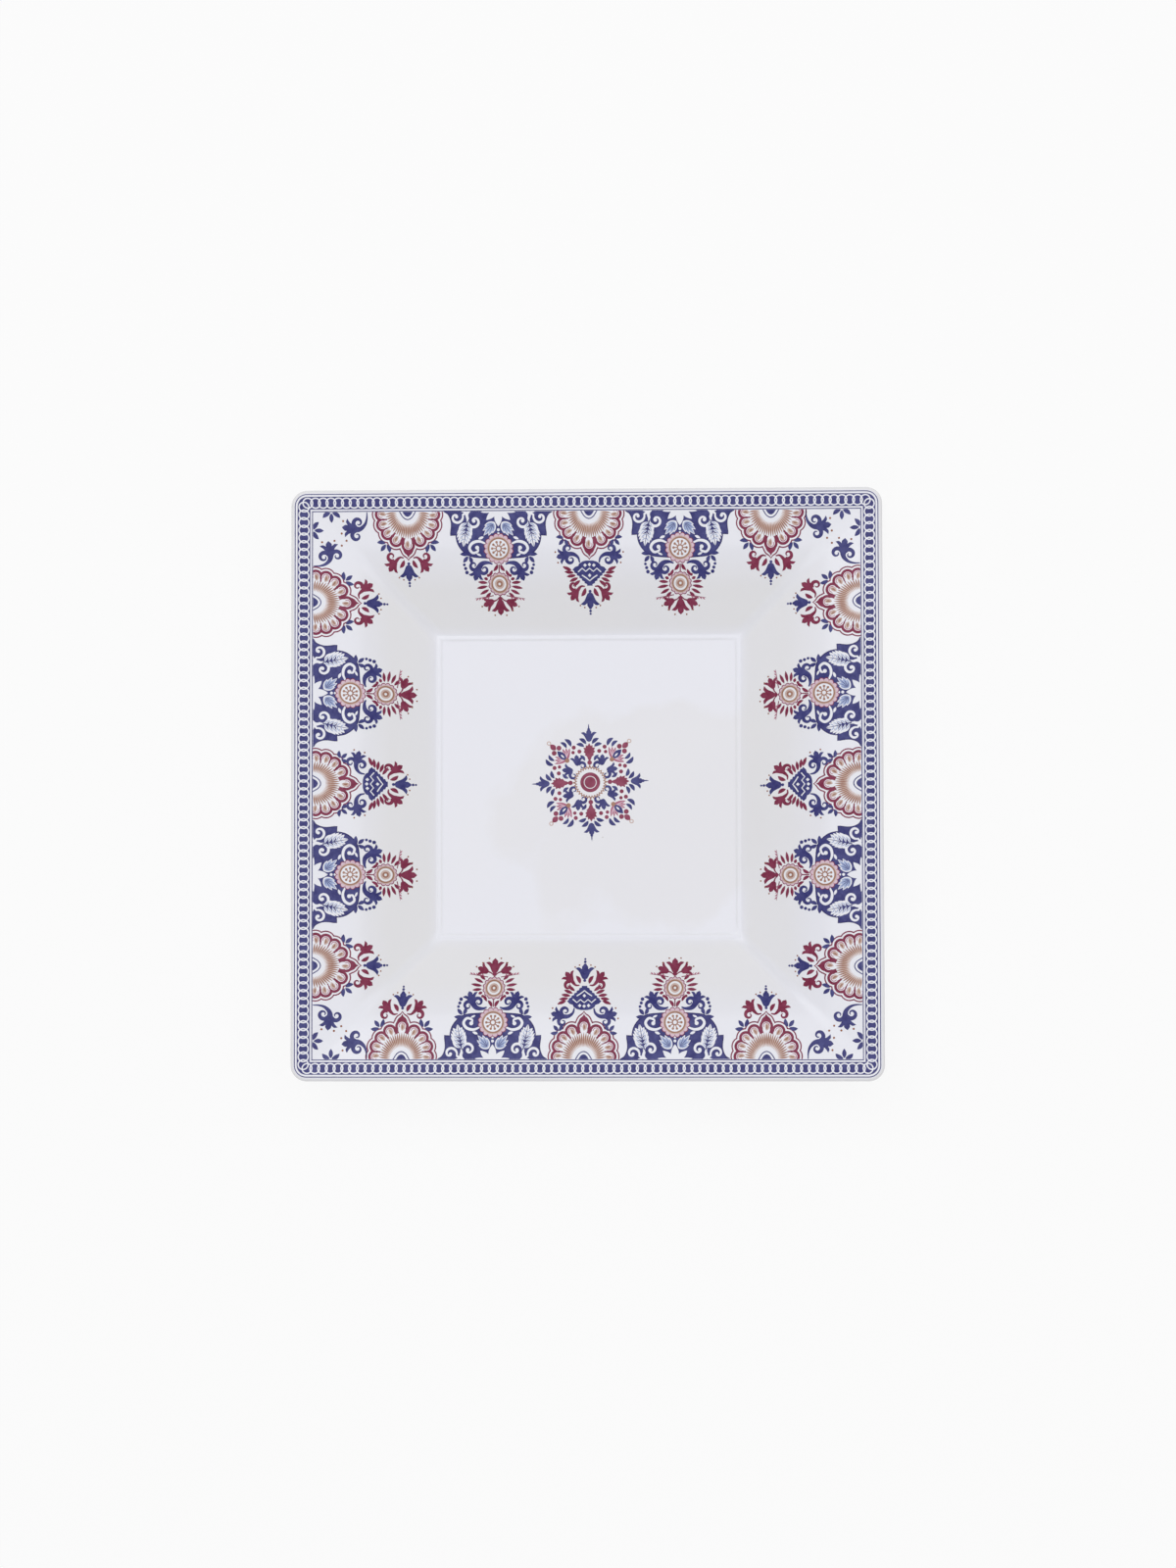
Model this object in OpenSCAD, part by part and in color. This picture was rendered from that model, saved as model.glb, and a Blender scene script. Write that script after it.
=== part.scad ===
// Square porcelain candy tray: one pressed and glazed body with fired-on transfer ornament.
// Millimetres, +Z up. The origin is under the middle of the tray, on the plane that the foot stands on.

/* [Tray body] */
// Width of the square tray over its lip
tray_w = 200; // [170:1:260]
// Height from the table to the top of the lip
tray_h = 30; // [24:0.5:45]
// Thickness of the sloped walls and of the lip
wall_t = 3.6; // [2.5:0.1:5]
// Radius of the rim's corners, seen from above
corner_r = 5.5; // [4:0.1:12]

/* [Walls and well] */
// Distance from the outer edge to the brow, where the flatter rim bends into the steeper wall
brow_inset = 26; // [20:0.5:36]
// Drop from the top of the lip to the brow
brow_drop = 7; // [4:0.5:10]
// Radius that rounds the brow
brow_r = 45; // [10:1:60]
// Width of the flat well between the feet of the walls
well_w = 106; // [70:1:115]
// Width of the narrow ledge round the well
ledge_w = 1.8; // [0.5:0.1:4]
// Height of the ledge above the well's floor
ledge_h = 0.4; // [0.2:0.1:1.5]

/* [Floor and foot] */
// Thickness of the floor under the well
floor_t = 4; // [3:0.1:7]
// Height of the foot ring
foot_h = 2.5; // [1.5:0.1:5]
// Width over the foot ring where it stands
foot_w = 98; // [60:1:105]
// Width of the foot's standing face
foot_face = 3; // [2:0.1:6]
// Radius of the foot's corners
foot_r = 9; // [7:0.5:16]
// Draft of the foot's sides, in degrees
foot_draft = 14; // [5:1:25]

/* [Border transfers] */
// Thickness of the fired enamel
film_t = 0.1; // [0.05:0.01:0.2]
// Width of the two border lines
line_w = 0.35; // [0.2:0.05:0.8]
// Distance from the outer edge to the outer line
outer_line_inset = 1.3; // [1:0.1:1.6]
// Distance from the outer edge to the chain band
band_inset = 2.45; // [2.2:0.05:3]
// Width of the chain band
band_w = 3.9; // [3:0.1:4.2]
// Distance from the outer edge to the inner line, where the pendants hang
inner_line_inset = 7; // [6.9:0.1:9]

/* [Pendant transfers] */
// Distance from a corner to the middle of the nearest pendant
pendant_inset = 38.5; // [36:0.5:45]
// Clear space between a lambrequin and the palmette beside it, where they hang
pendant_gap = 0.65; // [0.4:0.05:3]
// How far a lambrequin's top corner flares out past its shoulder
flare_w = 2.7; // [1.5:0.1:4]
// Drop from the hanging line to the shoulders
shoulder_drop = 8; // [6:0.1:10]
// Step in at each shoulder
notch_w = 1.7; // [0.5:0.1:2.5]
// Drop from the hanging line to the hem
hem_drop = 16.1; // [14:0.1:18]
// Distance from a shoulder's notch in to where the hem is level
hem_inset = 5.6; // [3:0.1:8]
// Radius of the rosette on the hem
rosette_r = 5.2; // [4:0.1:6]
// Radius of the lower rosette
low_rosette_r = 4; // [3:0.1:5]
// Drop from the hanging line to the middle of the lower rosette
low_rosette_drop = 24.9; // [24:0.1:27]
// Length of the leaves that fan out beside the lower rosette
ray_l = 3.6; // [2:0.1:5]
// Length of the three buds that end a lambrequin
bud_l = 5; // [3:0.1:7]
// Width of a palmette's fan, between the middles of its end lobes
fan_w = 17.7; // [15:0.1:19]
// Depth of a palmette's fan, to the middle of its last lobe
fan_h = 11.6; // [9:0.1:14]
// Number of lobes on each half of the fan, beside the last one
half_lobes = 4; // [3:1:5]
// Radius of a lobe over its thick edge
lobe_r = 2.25; // [2:0.05:2.6]
// Radius of the nub under the last lobe
nub_r = 1.3; // [0.8:0.1:1.8]
// Length of the bell that ends a palmette
bell_l = 5.2; // [4:0.1:7]
// Width of the bell
bell_w = 5; // [3:0.1:7]
// Radius of the beads under the bell
bead_r = 0.6; // [0.3:0.05:0.9]
// Length of the bracket between a middle palmette's fan and its bell
bracket_l = 9; // [6:0.1:11]
// Width of the bracket
bracket_w = 11; // [8:0.2:13]
// Length of the leaves beside the bell
drop_leaf_l = 4.4; // [2:0.1:6]

/* [Corner and centre transfers] */
// Distance from the outer edge to a corner tulip's flower, along its side
tulip_inset = 21; // [19:0.5:24]
// Drop from the hanging line to a corner tulip's flower
tulip_drop = 6; // [5:0.1:9]
// Length of a tulip's middle petal
petal_l = 4.6; // [3:0.1:6]
// Distance from the outer edge to a sprig, along its side
sprig_inset = 14.6; // [12:0.1:17]
// Length of a sprig's leaf
sprig_leaf_l = 3.5; // [2:0.1:5]
// Radius of the disc in the middle of the medallion
disc_r = 6; // [4:0.1:8]
// Length of the medallion's four leaf buds
medallion_bud_l = 7.2; // [5:0.1:9]
// Length of the medallion's four pointed finials
medallion_finial_l = 6.6; // [4:0.1:8]
// Radius of the flowers between the buds
flower_r = 2.7; // [1.5:0.1:3.5]

/* [Hidden] */
$fn = 64;
// Overlap that makes a cut run clear through, or a foot root into the floor
over = 1;
half_w = tray_w / 2;
// Inside the straight core, the rim is swept round as strips with turned corners
core_half = half_w - corner_r;
floor_z = foot_h + floor_t;
ledge_z = floor_z + ledge_h;
sides = 4;
quarter = 90;

// Section of the wall, on the +X side: lip, rim line, brow and wall line.
// An angle named _a is a line's heading, and one named _up points square out of the glaze
lip_r = wall_t / 2;
lip_c = [half_w - lip_r, tray_h - lip_r];
brow = [half_w - brow_inset, tray_h - brow_drop];
wall_foot = [well_w / 2, ledge_z];
rim_a = heading(lip_c - brow) + asin(lip_r / norm(lip_c - brow));
wall_a = heading(brow - wall_foot);
brow_turn = wall_a - rim_a;
lip_top = lip_c + lip_r * dir(rim_a + quarter);
lip_under = lip_c - lip_r * dir(rim_a + quarter);
// The brow's radius ends before it would use up the shorter of the two straight lines beside it
brow_room = 0.9 * min(norm(brow - wall_foot), norm(lip_top - brow)) / tan(brow_turn / 2);
brow_round = min(brow_r, brow_room);
wall_up = wall_a + quarter;
rim_up = rim_a + quarter;
inward_a = (wall_a + rim_a) / 2 - quarter;
brow_c = brow + brow_round / cos(brow_turn / 2) * dir(inward_a);
brow_low = brow_c + brow_round * dir(wall_up);
brow_high = brow_c + brow_round * dir(rim_up);
under_r = brow_round - wall_t;
under_brow = brow_c + under_r * dir(wall_up);
under_foot = [under_brow[0] - (under_brow[1] - foot_h) / tan(wall_a), foot_h];

// Enamel goes round the brow in flats so short that they stay within an eighth of its thickness
brow_flats = 8;
flat_turn = brow_turn / brow_flats;

// Ornament, measured along a side (u) and inwards from the outer edge (d)
hang_d = inner_line_inset + line_w;
pendant_u = half_w - pendant_inset;
fan_tip = fan_h + lobe_r + 2 * nub_r;
// A lambrequin takes the room that is left between two palmettes
lambrequin_half = pendant_u / 2 - fan_w / 2 - lobe_r - pendant_gap;

lambrequin_names = [for (i = [1:2 * sides]) str("lambrequin_", i)];
corner_palmette_names = [for (i = [1:2 * sides]) str("corner_palmette_", i)];
middle_palmette_names = [for (i = [1:sides]) str("middle_palmette_", i)];
tulip_names = [for (i = [1:2 * sides]) str("tulip_", i)];
sprig_names = [for (i = [1:2 * sides]) str("sprig_", i)];

porcelain = [0.93, 0.93, 0.95];
blue = [0.27, 0.28, 0.52];
burgundy = [0.50, 0.15, 0.28];

function dir(a) = [cos(a), sin(a)];
function heading(v) = atan2(v[1], v[0]);
function flip(points) = [for (i = [len(points) - 1:-1:0]) [-points[i][0], points[i][1]]];
// Points of a cubic curve from a to d, pulled towards b and c
function curve(a, b, c, d, steps = 8) = [
    for (i = [0:steps])
        let (t = i / steps, s = 1 - t)
            s * s * s * a + 3 * s * s * t * b + 3 * s * t * t * c + t * t * t * d
];

// Slice of a disc between two headings less than a half turn apart
module pie(c, r, a0, a1) {
    intersection() {
        translate(c) circle(r);
        polygon([c, c + 2 * r * dir(a0), c + 2 * r * dir((a0 + a1) / 2), c + 2 * r * dir(a1)]);
    }
}

// Half section of the space above the glaze, out to the top of the lip
module hollow_half() {
    difference() {
        polygon([
            [0, floor_z], [well_w / 2 - ledge_w, floor_z], [well_w / 2 - ledge_w, ledge_z],
            wall_foot, brow_low, brow_high, lip_top, [lip_c[0], tray_h],
            [lip_c[0], tray_h + over], [0, tray_h + over]
        ]);
        pie(brow_c, brow_round, wall_up, rim_up);
        pie(lip_c, lip_r, rim_up, quarter);
    }
}

// Half section of the porcelain and all that is above it
module cast_half() {
    difference() {
        polygon([
            [0, foot_h], under_foot, under_brow, brow_c + under_r * dir(rim_up), lip_under,
            lip_top, [lip_top[0], tray_h], [0, tray_h]
        ]);
        pie(brow_c, under_r, wall_up, rim_up);
    }
    translate(lip_c) rotate(rim_a) intersection() {
        circle(lip_r);
        translate([0, -wall_t]) square([wall_t, 2 * wall_t]);
    }
}

// A half section mirrored to the whole width of the core
module core_section() {
    intersection() {
        translate([-core_half, 0]) square([2 * core_half, tray_h + 2 * over]);
        union() {
            children();
            mirror([1, 0]) children();
        }
    }
}

// Draws a section along both axes at once, so that four walls meet in mitres
module mitred(length) {
    intersection() {
        rotate([quarter, 0, 0]) linear_extrude(length, center = true) core_section() children();
        rotate([quarter, 0, quarter]) linear_extrude(length, center = true) core_section() children();
    }
}

// Carries a section round a square: straight strips and turned corners. X = 0 of the section is at half
module swept_square(half) {
    for (k = [0:sides - 1]) rotate(k * quarter) {
        translate([half, 0, 0]) rotate([quarter, 0, 0])
            linear_extrude(2 * half, center = true) children();
        translate([half, half, 0]) rotate_extrude(angle = quarter) children();
    }
}

// The part of a half section that lies between two distances from the outer edge
module between_insets(near, far) {
    intersection() {
        translate([half_w - far, 0]) square([far - near, tray_h + over]);
        children();
    }
}

module rim_section() {
    translate([-core_half, 0]) between_insets(0, corner_r) difference() {
        cast_half();
        hollow_half();
    }
}

module foot_section() {
    root = foot_h + over;
    spread = root * tan(foot_draft);
    polygon([[-foot_face - spread, root], [-foot_face, 0], [0, 0], [spread, root]]);
}

module tray_body() {
    foot_half = foot_w / 2 - foot_r;
    color(porcelain) union() {
        difference() {
            mitred(2 * core_half) cast_half();
            mitred(2 * core_half + over) hollow_half();
        }
        swept_square(core_half) rim_section();
        swept_square(foot_half) translate([foot_r, 0]) foot_section();
    }
}

// Corner k between the flats that carry the enamel round the brow, each touching an arc of radius r
function flat_corner(k, r) = brow_c + r / cos(flat_turn / 2) * dir(wall_up - (k + 0.5) * flat_turn);

// Half section of the enamel, from the foot of the wall over the top of the lip
module film_half() {
    under = [for (k = [0:brow_flats - 1]) flat_corner(k, brow_round)];
    face = [for (k = [brow_flats - 1:-1:0]) flat_corner(k, brow_round + film_t)];
    polygon(concat(
        [wall_foot], under, [lip_top, lip_top + film_t * dir(rim_up)],
        face, [wall_foot + film_t * dir(wall_up)]
    ));
    difference() {
        pie(lip_c, lip_r + film_t, rim_up, quarter / 2);
        translate(lip_c) circle(lip_r);
    }
}

// A border stripe between two distances from the outer edge: turned corners in the rim, mitres inside it
module border_stripe(near, far) {
    if (near < corner_r)
        swept_square(core_half)
            translate([-core_half, 0]) between_insets(near, min(far, corner_r)) film_half();
    if (far > corner_r) for (k = [0:sides - 1]) rotate(k * quarter) intersection() {
        rotate([quarter, 0, 0]) linear_extrude(tray_w, center = true)
            between_insets(max(near, corner_r), far) film_half();
        linear_extrude(tray_h + over) polygon([[0, 0], [half_w, -half_w], [half_w, half_w]]);
    }
}

module outer_line() {
    color(blue) border_stripe(outer_line_inset, outer_line_inset + line_w);
}

module chain_band() {
    color(blue) border_stripe(band_inset, band_inset + band_w);
}

module inner_line() {
    color(blue) border_stripe(inner_line_inset, inner_line_inset + line_w);
}

// Lays flat motifs, drawn in u and d, on the glaze of one side
module laid_on_side(side, u) {
    rotate(side * quarter) for (k = [0:$children - 1]) intersection() {
        translate([u, -half_w + hang_d, 0]) linear_extrude(tray_h + over) children(k);
        rotate([quarter, 0, -quarter]) linear_extrude(tray_w, center = true) film_half();
    }
}

// Pointed leaf from the origin along +Y, between two arcs
module leaf(length, width) {
    r = (length * length + width * width) / (4 * width);
    intersection() {
        translate([r - width / 2, length / 2]) circle(r);
        translate([width / 2 - r, length / 2]) circle(r);
    }
}

// The same outline on both sides of the middle line
module both_sides() {
    children();
    mirror([1, 0]) children();
}

// Leaves of one size, fanned out about the origin at the given angles from +Y, a gap away from it
module fanned_leaves(angles, gap, length, width) {
    for (a = angles) rotate(a) translate([0, gap]) leaf(length, width);
}

// Open flower along +Y: three petals, two curled ones beside them, and a stem
module tulip_outline() {
    spread = 48;
    petal_w = petal_l * 0.5;
    curl_r = petal_l * 0.42;
    eye_r = petal_l * 0.2;
    fanned_leaves([-spread, 0, spread], 0, petal_l, petal_w);
    both_sides() translate([petal_w, -petal_w / 2]) difference() {
        circle(curl_r);
        translate([eye_r / 2, -eye_r / 2]) circle(eye_r);
    }
    translate([0, petal_w / 2]) rotate(2 * quarter) leaf(petal_l * 1.75, petal_w * 0.8);
}

// Pendant cloth with flared top corners, notched shoulders, a bell-shaped hem and a rosette on the hem
module cloth_outline() {
    hang = [lambrequin_half, 0];
    shoulder = [lambrequin_half - flare_w, shoulder_drop];
    notch = shoulder - [notch_w, 0];
    hem = [notch[0] - hem_inset, hem_drop];
    hang_pull = [-2.2, 1.2];
    shoulder_pull = [-0.4, -0.6 * shoulder_drop];
    notch_pull = [-0.8, 0.2 * hem_drop];
    hem_pull = [3, -2];
    right = concat(
        curve(hang, hang + hang_pull, shoulder + shoulder_pull, shoulder),
        curve(notch, notch + notch_pull, hem + hem_pull, hem)
    );
    polygon(concat(right, flip(right)));
    translate([0, hem_drop - 0.6 * rosette_r]) circle(rosette_r);
}

// Lower rosette with leaves fanned out on both sides
module rayed_rosette_outline() {
    ray_step = 30;
    ray_root = low_rosette_r - 0.3;
    ray_angles = [for (i = [-1:1]) i * ray_step - quarter];
    translate([0, low_rosette_drop]) {
        circle(low_rosette_r);
        both_sides() fanned_leaves(ray_angles, ray_root, ray_l, ray_l * 0.3);
    }
}

module buds_outline() {
    spread = 50;
    clear_of_rosette = 0.9;
    translate([0, low_rosette_drop + low_rosette_r + clear_of_rosette])
        fanned_leaves([-spread, 0, spread], 0, bud_l, bud_l * 0.5);
}

// Middle of lobe i on one half of the fan, from the last lobe (0) up to the hanging line
function lobe_at(i) =
    let (
        t = 1 - i / half_lobes,
        s = 1 - t,
        top = [fan_w / 2, 0.08 * fan_h],
        bow = [0.53 * fan_w, 0.73 * fan_h]
    )
        s * s * top + 2 * s * t * bow + t * t * [0, fan_h];

module fan_outline() {
    rim = [for (i = [half_lobes:-1:0]) lobe_at(i)];
    polygon(concat([[fan_w / 2, 0]], rim, flip(rim), [[-fan_w / 2, 0]]));
    intersection() {
        translate([-fan_w, 0]) square([2 * fan_w, 2 * fan_h]);
        both_sides() for (c = rim) translate(c) circle(lobe_r);
    }
    translate([0, fan_h + lobe_r]) circle(nub_r);
}

// Bell flower with two beads, hanging from the origin along +Y
module bell_outline() {
    stalk = [0.4, 0];
    brim = [bell_w / 2, bell_l * 0.6];
    clapper = [0.6 * bell_w / 2, bell_l * 0.66];
    tip = [0.2, bell_l];
    steps = 6;
    side = concat(
        curve(stalk, [brim[0], 0], [0.4 * brim[0], bell_l / 2], brim, steps),
        curve(clapper, [clapper[0], bell_l], tip - [0, 0.2 * bell_l], tip, steps)
    );
    polygon(concat(side, flip(side)));
    for (i = [0:1]) translate([0, bell_l + bead_r * (0.8 + 2.2 * i)]) circle(bead_r);
}

// Leaves beside the bell that hangs below a fan or a bracket
module drop_leaves_outline() {
    clear_of_bell = 1.8;
    both_sides() fanned_leaves([-66, -98], clear_of_bell, drop_leaf_l, drop_leaf_l * 0.32);
}

// Pointed bracket that widens from the fan and closes to the bell
module bracket_outline() {
    root = bracket_w * 0.2;
    elbow = [bracket_w / 2, bracket_l * 0.35];
    tip = 0.2;
    right = [[root, 0], elbow, [tip, bracket_l]];
    polygon(concat(right, flip(right)));
}

module sprig_outline() {
    spread = 56;
    clear_of_line = 0.3;
    fanned_leaves([-spread, 0, spread], clear_of_line, sprig_leaf_l, sprig_leaf_l * 0.42);
}

// Motifs in pairs: even numbers stand left of a side's middle, odd ones right of it
function hand(i) = i % 2 == 0 ? -1 : 1;
function side_of(i) = floor(i / 2);

module lambrequin(i) {
    color(blue) laid_on_side(side_of(i), hand(i) * pendant_u / 2) {
        cloth_outline();
        rayed_rosette_outline();
        buds_outline();
    }
}

module corner_palmette(i) {
    color(burgundy) laid_on_side(side_of(i), hand(i) * pendant_u) {
        fan_outline();
        translate([0, fan_tip]) drop_leaves_outline();
        translate([0, fan_tip + bead_r]) bell_outline();
    }
}

module middle_palmette(i) {
    color(burgundy) laid_on_side(i, 0) {
        fan_outline();
        translate([0, fan_tip]) bracket_outline();
        translate([0, fan_tip + bracket_l]) drop_leaves_outline();
        translate([0, fan_tip + bracket_l + bead_r]) bell_outline();
    }
}

module tulip(i) {
    lean = 80;
    color(blue) laid_on_side(side_of(i), hand(i) * (half_w - tulip_inset))
        translate([0, tulip_drop]) rotate(-hand(i) * lean) tulip_outline();
}

module sprig(i) {
    color(blue) laid_on_side(side_of(i), hand(i) * (half_w - sprig_inset))
        sprig_outline();
}

module medallion() {
    bud_root = disc_r - 0.4;
    finial_root = bud_root + medallion_bud_l - 0.4;
    flower_at = disc_r + 0.85 * medallion_bud_l;
    berry_at = flower_at + 2.1 * flower_r;
    berry_r = 0.35 * flower_r;
    color(burgundy) translate([0, 0, floor_z]) linear_extrude(film_t) {
        circle(disc_r);
        for (k = [0:sides - 1]) rotate(k * quarter) {
            translate([0, bud_root]) leaf(medallion_bud_l, medallion_bud_l * 0.6);
            translate([0, finial_root]) leaf(medallion_finial_l, medallion_finial_l * 0.5);
            rotate(quarter / 2) translate([0, flower_at]) circle(flower_r);
            rotate(quarter / 2) translate([0, berry_at]) circle(berry_r);
        }
    }
}

tray_body();
outer_line();
chain_band();
inner_line();
for (i = [0:2 * sides - 1]) {
    lambrequin(i);
    corner_palmette(i);
    tulip(i);
    sprig(i);
}
for (i = [0:sides - 1])
    middle_palmette(i);
medallion();
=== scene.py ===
# %% [markdown]
# # Square candy tray
# A shallow square tray of white porcelain, printed with a blue and burgundy border. The solids come from the
# CAD frame; this lesson dresses them. It makes the camera and the light, the glazed body, the coloured
# transfers, and their materials. Each new piece rides on the one body of the frame and takes the place of the
# CAD node that it shows.

# %% Load the frame
import cmath
import math

import bmesh
import bpy
import numpy as np
from mathutils import Euler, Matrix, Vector
from mathutils.geometry import delaunay_2d_cdt


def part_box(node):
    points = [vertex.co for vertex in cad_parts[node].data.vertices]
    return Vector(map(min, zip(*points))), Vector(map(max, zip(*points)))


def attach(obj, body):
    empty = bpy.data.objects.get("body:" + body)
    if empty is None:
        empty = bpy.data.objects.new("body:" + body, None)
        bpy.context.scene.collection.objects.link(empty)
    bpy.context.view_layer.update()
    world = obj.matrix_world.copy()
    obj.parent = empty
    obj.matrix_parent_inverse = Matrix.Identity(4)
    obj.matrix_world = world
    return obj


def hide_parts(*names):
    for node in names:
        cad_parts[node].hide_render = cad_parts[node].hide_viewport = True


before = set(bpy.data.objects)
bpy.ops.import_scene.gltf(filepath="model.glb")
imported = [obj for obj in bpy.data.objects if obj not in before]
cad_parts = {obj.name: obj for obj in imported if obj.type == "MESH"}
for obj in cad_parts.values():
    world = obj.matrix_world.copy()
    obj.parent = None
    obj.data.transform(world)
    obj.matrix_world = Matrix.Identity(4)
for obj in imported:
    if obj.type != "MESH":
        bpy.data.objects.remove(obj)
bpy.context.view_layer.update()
MM = 0.001

# %% [markdown]
# ## Camera
# The tray is seen from almost straight above, from a little over a metre, so its walls barely converge. The
# camera stands a few degrees towards the near side and the right, so the well is slightly off the middle of
# the rim. An orthographic camera would show no depth at all, so a long lens keeps the perspective flat. It
# follows from the width of the view at the rim's height.

# %% Camera above the tray
RIM_Z = 0.029
VIEW_WIDTH = 0.3963
STAND_OFF = 1.2
SENSOR = 36
TILT_NEAR, TILT_RIGHT, ROLL = math.radians(2.4), math.radians(2.3), math.radians(-0.1)
aim = Vector((0.0006, 0.0, RIM_Z))
tilt = Euler((TILT_NEAR, TILT_RIGHT, ROLL))
back_off = tilt.to_matrix() @ Vector((0, 0, STAND_OFF))
bpy.ops.object.camera_add(location=aim + back_off, rotation=tilt)
camera = bpy.context.active_object
camera.name = "camera"
camera.data.sensor_fit = "HORIZONTAL"
camera.data.sensor_width = SENSOR
camera.data.lens = SENSOR * STAND_OFF / VIEW_WIDTH
bpy.context.scene.camera = camera
print("lens in mm:", round(camera.data.lens, 1))

# %% [markdown]
# ## Light, world and floor
# Soft light from all round gives the rim and the walls their even tone. A large panel overhead adds the rest,
# so the level well is brighter than the sloping walls. The floor and the sky show the same pale tone to the
# camera, through Light Path, and still light the object at a plain level. Part of the floor stays an ordinary
# matt surface, most of all under the tray, so a soft shadow is left there. A sun would give the glaze hard
# edges, so a window at the upper left gives it faint glints instead.

# %% World
BACKDROP = (0.985, 0.985, 0.985, 1)
SKY_LIGHT = (0.575, 0.571, 0.568, 1)


def calculate(tree, operation, first, second, clamp=False):
    node = tree.nodes.new("ShaderNodeMath")
    node.operation, node.use_clamp = operation, clamp
    tree.links.new(first, node.inputs[0])
    tree.links.new(second, node.inputs[1])
    return node.outputs[0]


def seen_directly(tree):
    """1 where the camera, a reflection or glass looks at the surface, 0 where it lights something."""
    rays = tree.nodes.new("ShaderNodeLightPath").outputs
    seen = calculate(tree, "MAXIMUM", rays["Is Camera Ray"], rays["Is Glossy Ray"])
    return calculate(tree, "MAXIMUM", seen, rays["Is Transmission Ray"])


def mix_shaders(tree, share, lighting, shown, output):
    mix = tree.nodes.new("ShaderNodeMixShader")
    for source, socket in zip((share, lighting, shown), mix.inputs):
        tree.links.new(source, socket)
    tree.links.new(mix.outputs["Shader"], tree.nodes[output].inputs["Surface"])


world = bpy.data.worlds.new("studio")
bpy.context.scene.world = world
world.use_nodes = True
tree = world.node_tree
sky = tree.nodes["Background"]
sky.inputs["Color"].default_value = SKY_LIGHT
pale_sky = tree.nodes.new("ShaderNodeBackground")
pale_sky.inputs["Color"].default_value = BACKDROP
mix_shaders(tree, seen_directly(tree), sky.outputs[0], pale_sky.outputs[0], "World Output")
bpy.context.scene.view_settings.view_transform = "Standard"
print("sky light:", SKY_LIGHT[:3])


# %% Lamps
def add_lamp(name, place, size, watts, colour=(1, 1, 1)):
    bpy.ops.object.light_add(type="AREA", location=place)
    lamp = bpy.context.active_object
    lamp.name = name
    lamp.data.shape = "SQUARE"
    lamp.data.size, lamp.data.energy, lamp.data.color = size, watts, colour
    lamp.visible_camera = False
    print(name, "is", size, "m wide, with", watts, "W")
    return lamp


add_lamp("overhead_panel", (0.2, 0.3, 1.7), 2.4, 15.2, (0.97, 0.98, 1.0))
window = add_lamp("window", (-0.6, 0.6, 1.4), 0.8, 2)
window.rotation_euler = (-window.location).to_track_quat("-Z", "Y").to_euler()

# %% Floor
FLOOR_SIZE, FLOOR_DROP = 30, 0.0002
bpy.ops.object.select_all(action="DESELECT")
bpy.ops.mesh.primitive_grid_add(
    x_subdivisions=4, y_subdivisions=4, size=FLOOR_SIZE, location=(0, 0, -FLOOR_DROP)
)
floor = bpy.context.active_object
floor.name = "floor"
bpy.ops.object.transform_apply(location=True)
print("floor marked as stage:", floor.name)


# %% Paper on the floor
def new_material(name):
    finish = bpy.data.materials.new(name)
    finish.use_nodes = True
    return finish, finish.node_tree, finish.node_tree.nodes["Principled BSDF"]


def spread_out(tree, source, low, high, to_low, to_high):
    scale = tree.nodes.new("ShaderNodeMapRange")
    for label, value in (("From Min", low), ("From Max", high), ("To Min", to_low), ("To Max", to_high)):
        scale.inputs[label].default_value = value
    tree.links.new(source, scale.inputs["Value"])
    return scale.outputs["Result"]


def distance(tree, vector):
    length = tree.nodes.new("ShaderNodeVectorMath")
    length.operation = "LENGTH"
    tree.links.new(vector, length.inputs[0])
    return length.outputs["Value"]


UNDER_SHADOW, OPEN_SHADOW = 0.6, 0.14
SHADOW_NEAR, SHADOW_FAR = 0.05, 0.098
paper, tree, matt = new_material("pale_paper")
matt.inputs["Base Color"].default_value = (0.9, 0.9, 0.9, 1)
matt.inputs["Roughness"].default_value = 0.9
matt.inputs["Specular IOR Level"].default_value = 0
shown = tree.nodes.new("ShaderNodeEmission")
shown.inputs["Color"].default_value = BACKDROP
from_middle = distance(tree, tree.nodes.new("ShaderNodeTexCoord").outputs["Object"])
evenness = spread_out(tree, from_middle, SHADOW_NEAR, SHADOW_FAR, 1 - UNDER_SHADOW, 1 - OPEN_SHADOW)
share = calculate(tree, "MULTIPLY", seen_directly(tree), evenness)
mix_shaders(tree, share, matt.outputs[0], shown.outputs[0], "Material Output")
floor.data.materials.append(paper)
print("shadow kept under the tray and in the open:", UNDER_SHADOW, OPEN_SHADOW)

# %% [markdown]
# ## Drawing kit for the transfers
# A transfer is flat coloured ink, so it is drawn flat first, in millimetres, and laid on the glaze later.
# A point is a complex number: the real part runs along a side of the tray, the imaginary part runs inwards.
# Turning a shape is then one multiplication. A shape is a list of closed loops, and a second loop inside the
# first one is a hole. A Bezier curve object could hold one outline, but a motif has dozens of them, so short
# functions for leaves, ribbons and discs are easier to read and to change.

# %% Turns, discs and rings
def turn(degrees):
    return cmath.rect(1, math.radians(degrees))


def disc(centre, radius, steps=16):
    return [[centre + radius * turn(360 * k / steps) for k in range(steps)]]


def ring(centre, radius, width, steps=28):
    hole = disc(centre, radius - width, steps)[0]
    return disc(centre, radius, steps) + [hole[::-1]]


def scalloped(centre, radius, lobes, depth, steps=6):
    count = lobes * steps
    loop = []
    for k in range(count):
        dip = depth * (1 - abs(math.sin(math.pi * k / steps)))
        loop.append(centre + (radius - dip) * turn(360 * k / count))
    return [loop]


print("a disc has", len(disc(0, 1)[0]), "points")


# %% Ribbons and leaves
LEAF_WIDTHS = (0, 0.5, 0.8, 0.96, 1, 0.94, 0.76, 0.44, 0)


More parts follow.
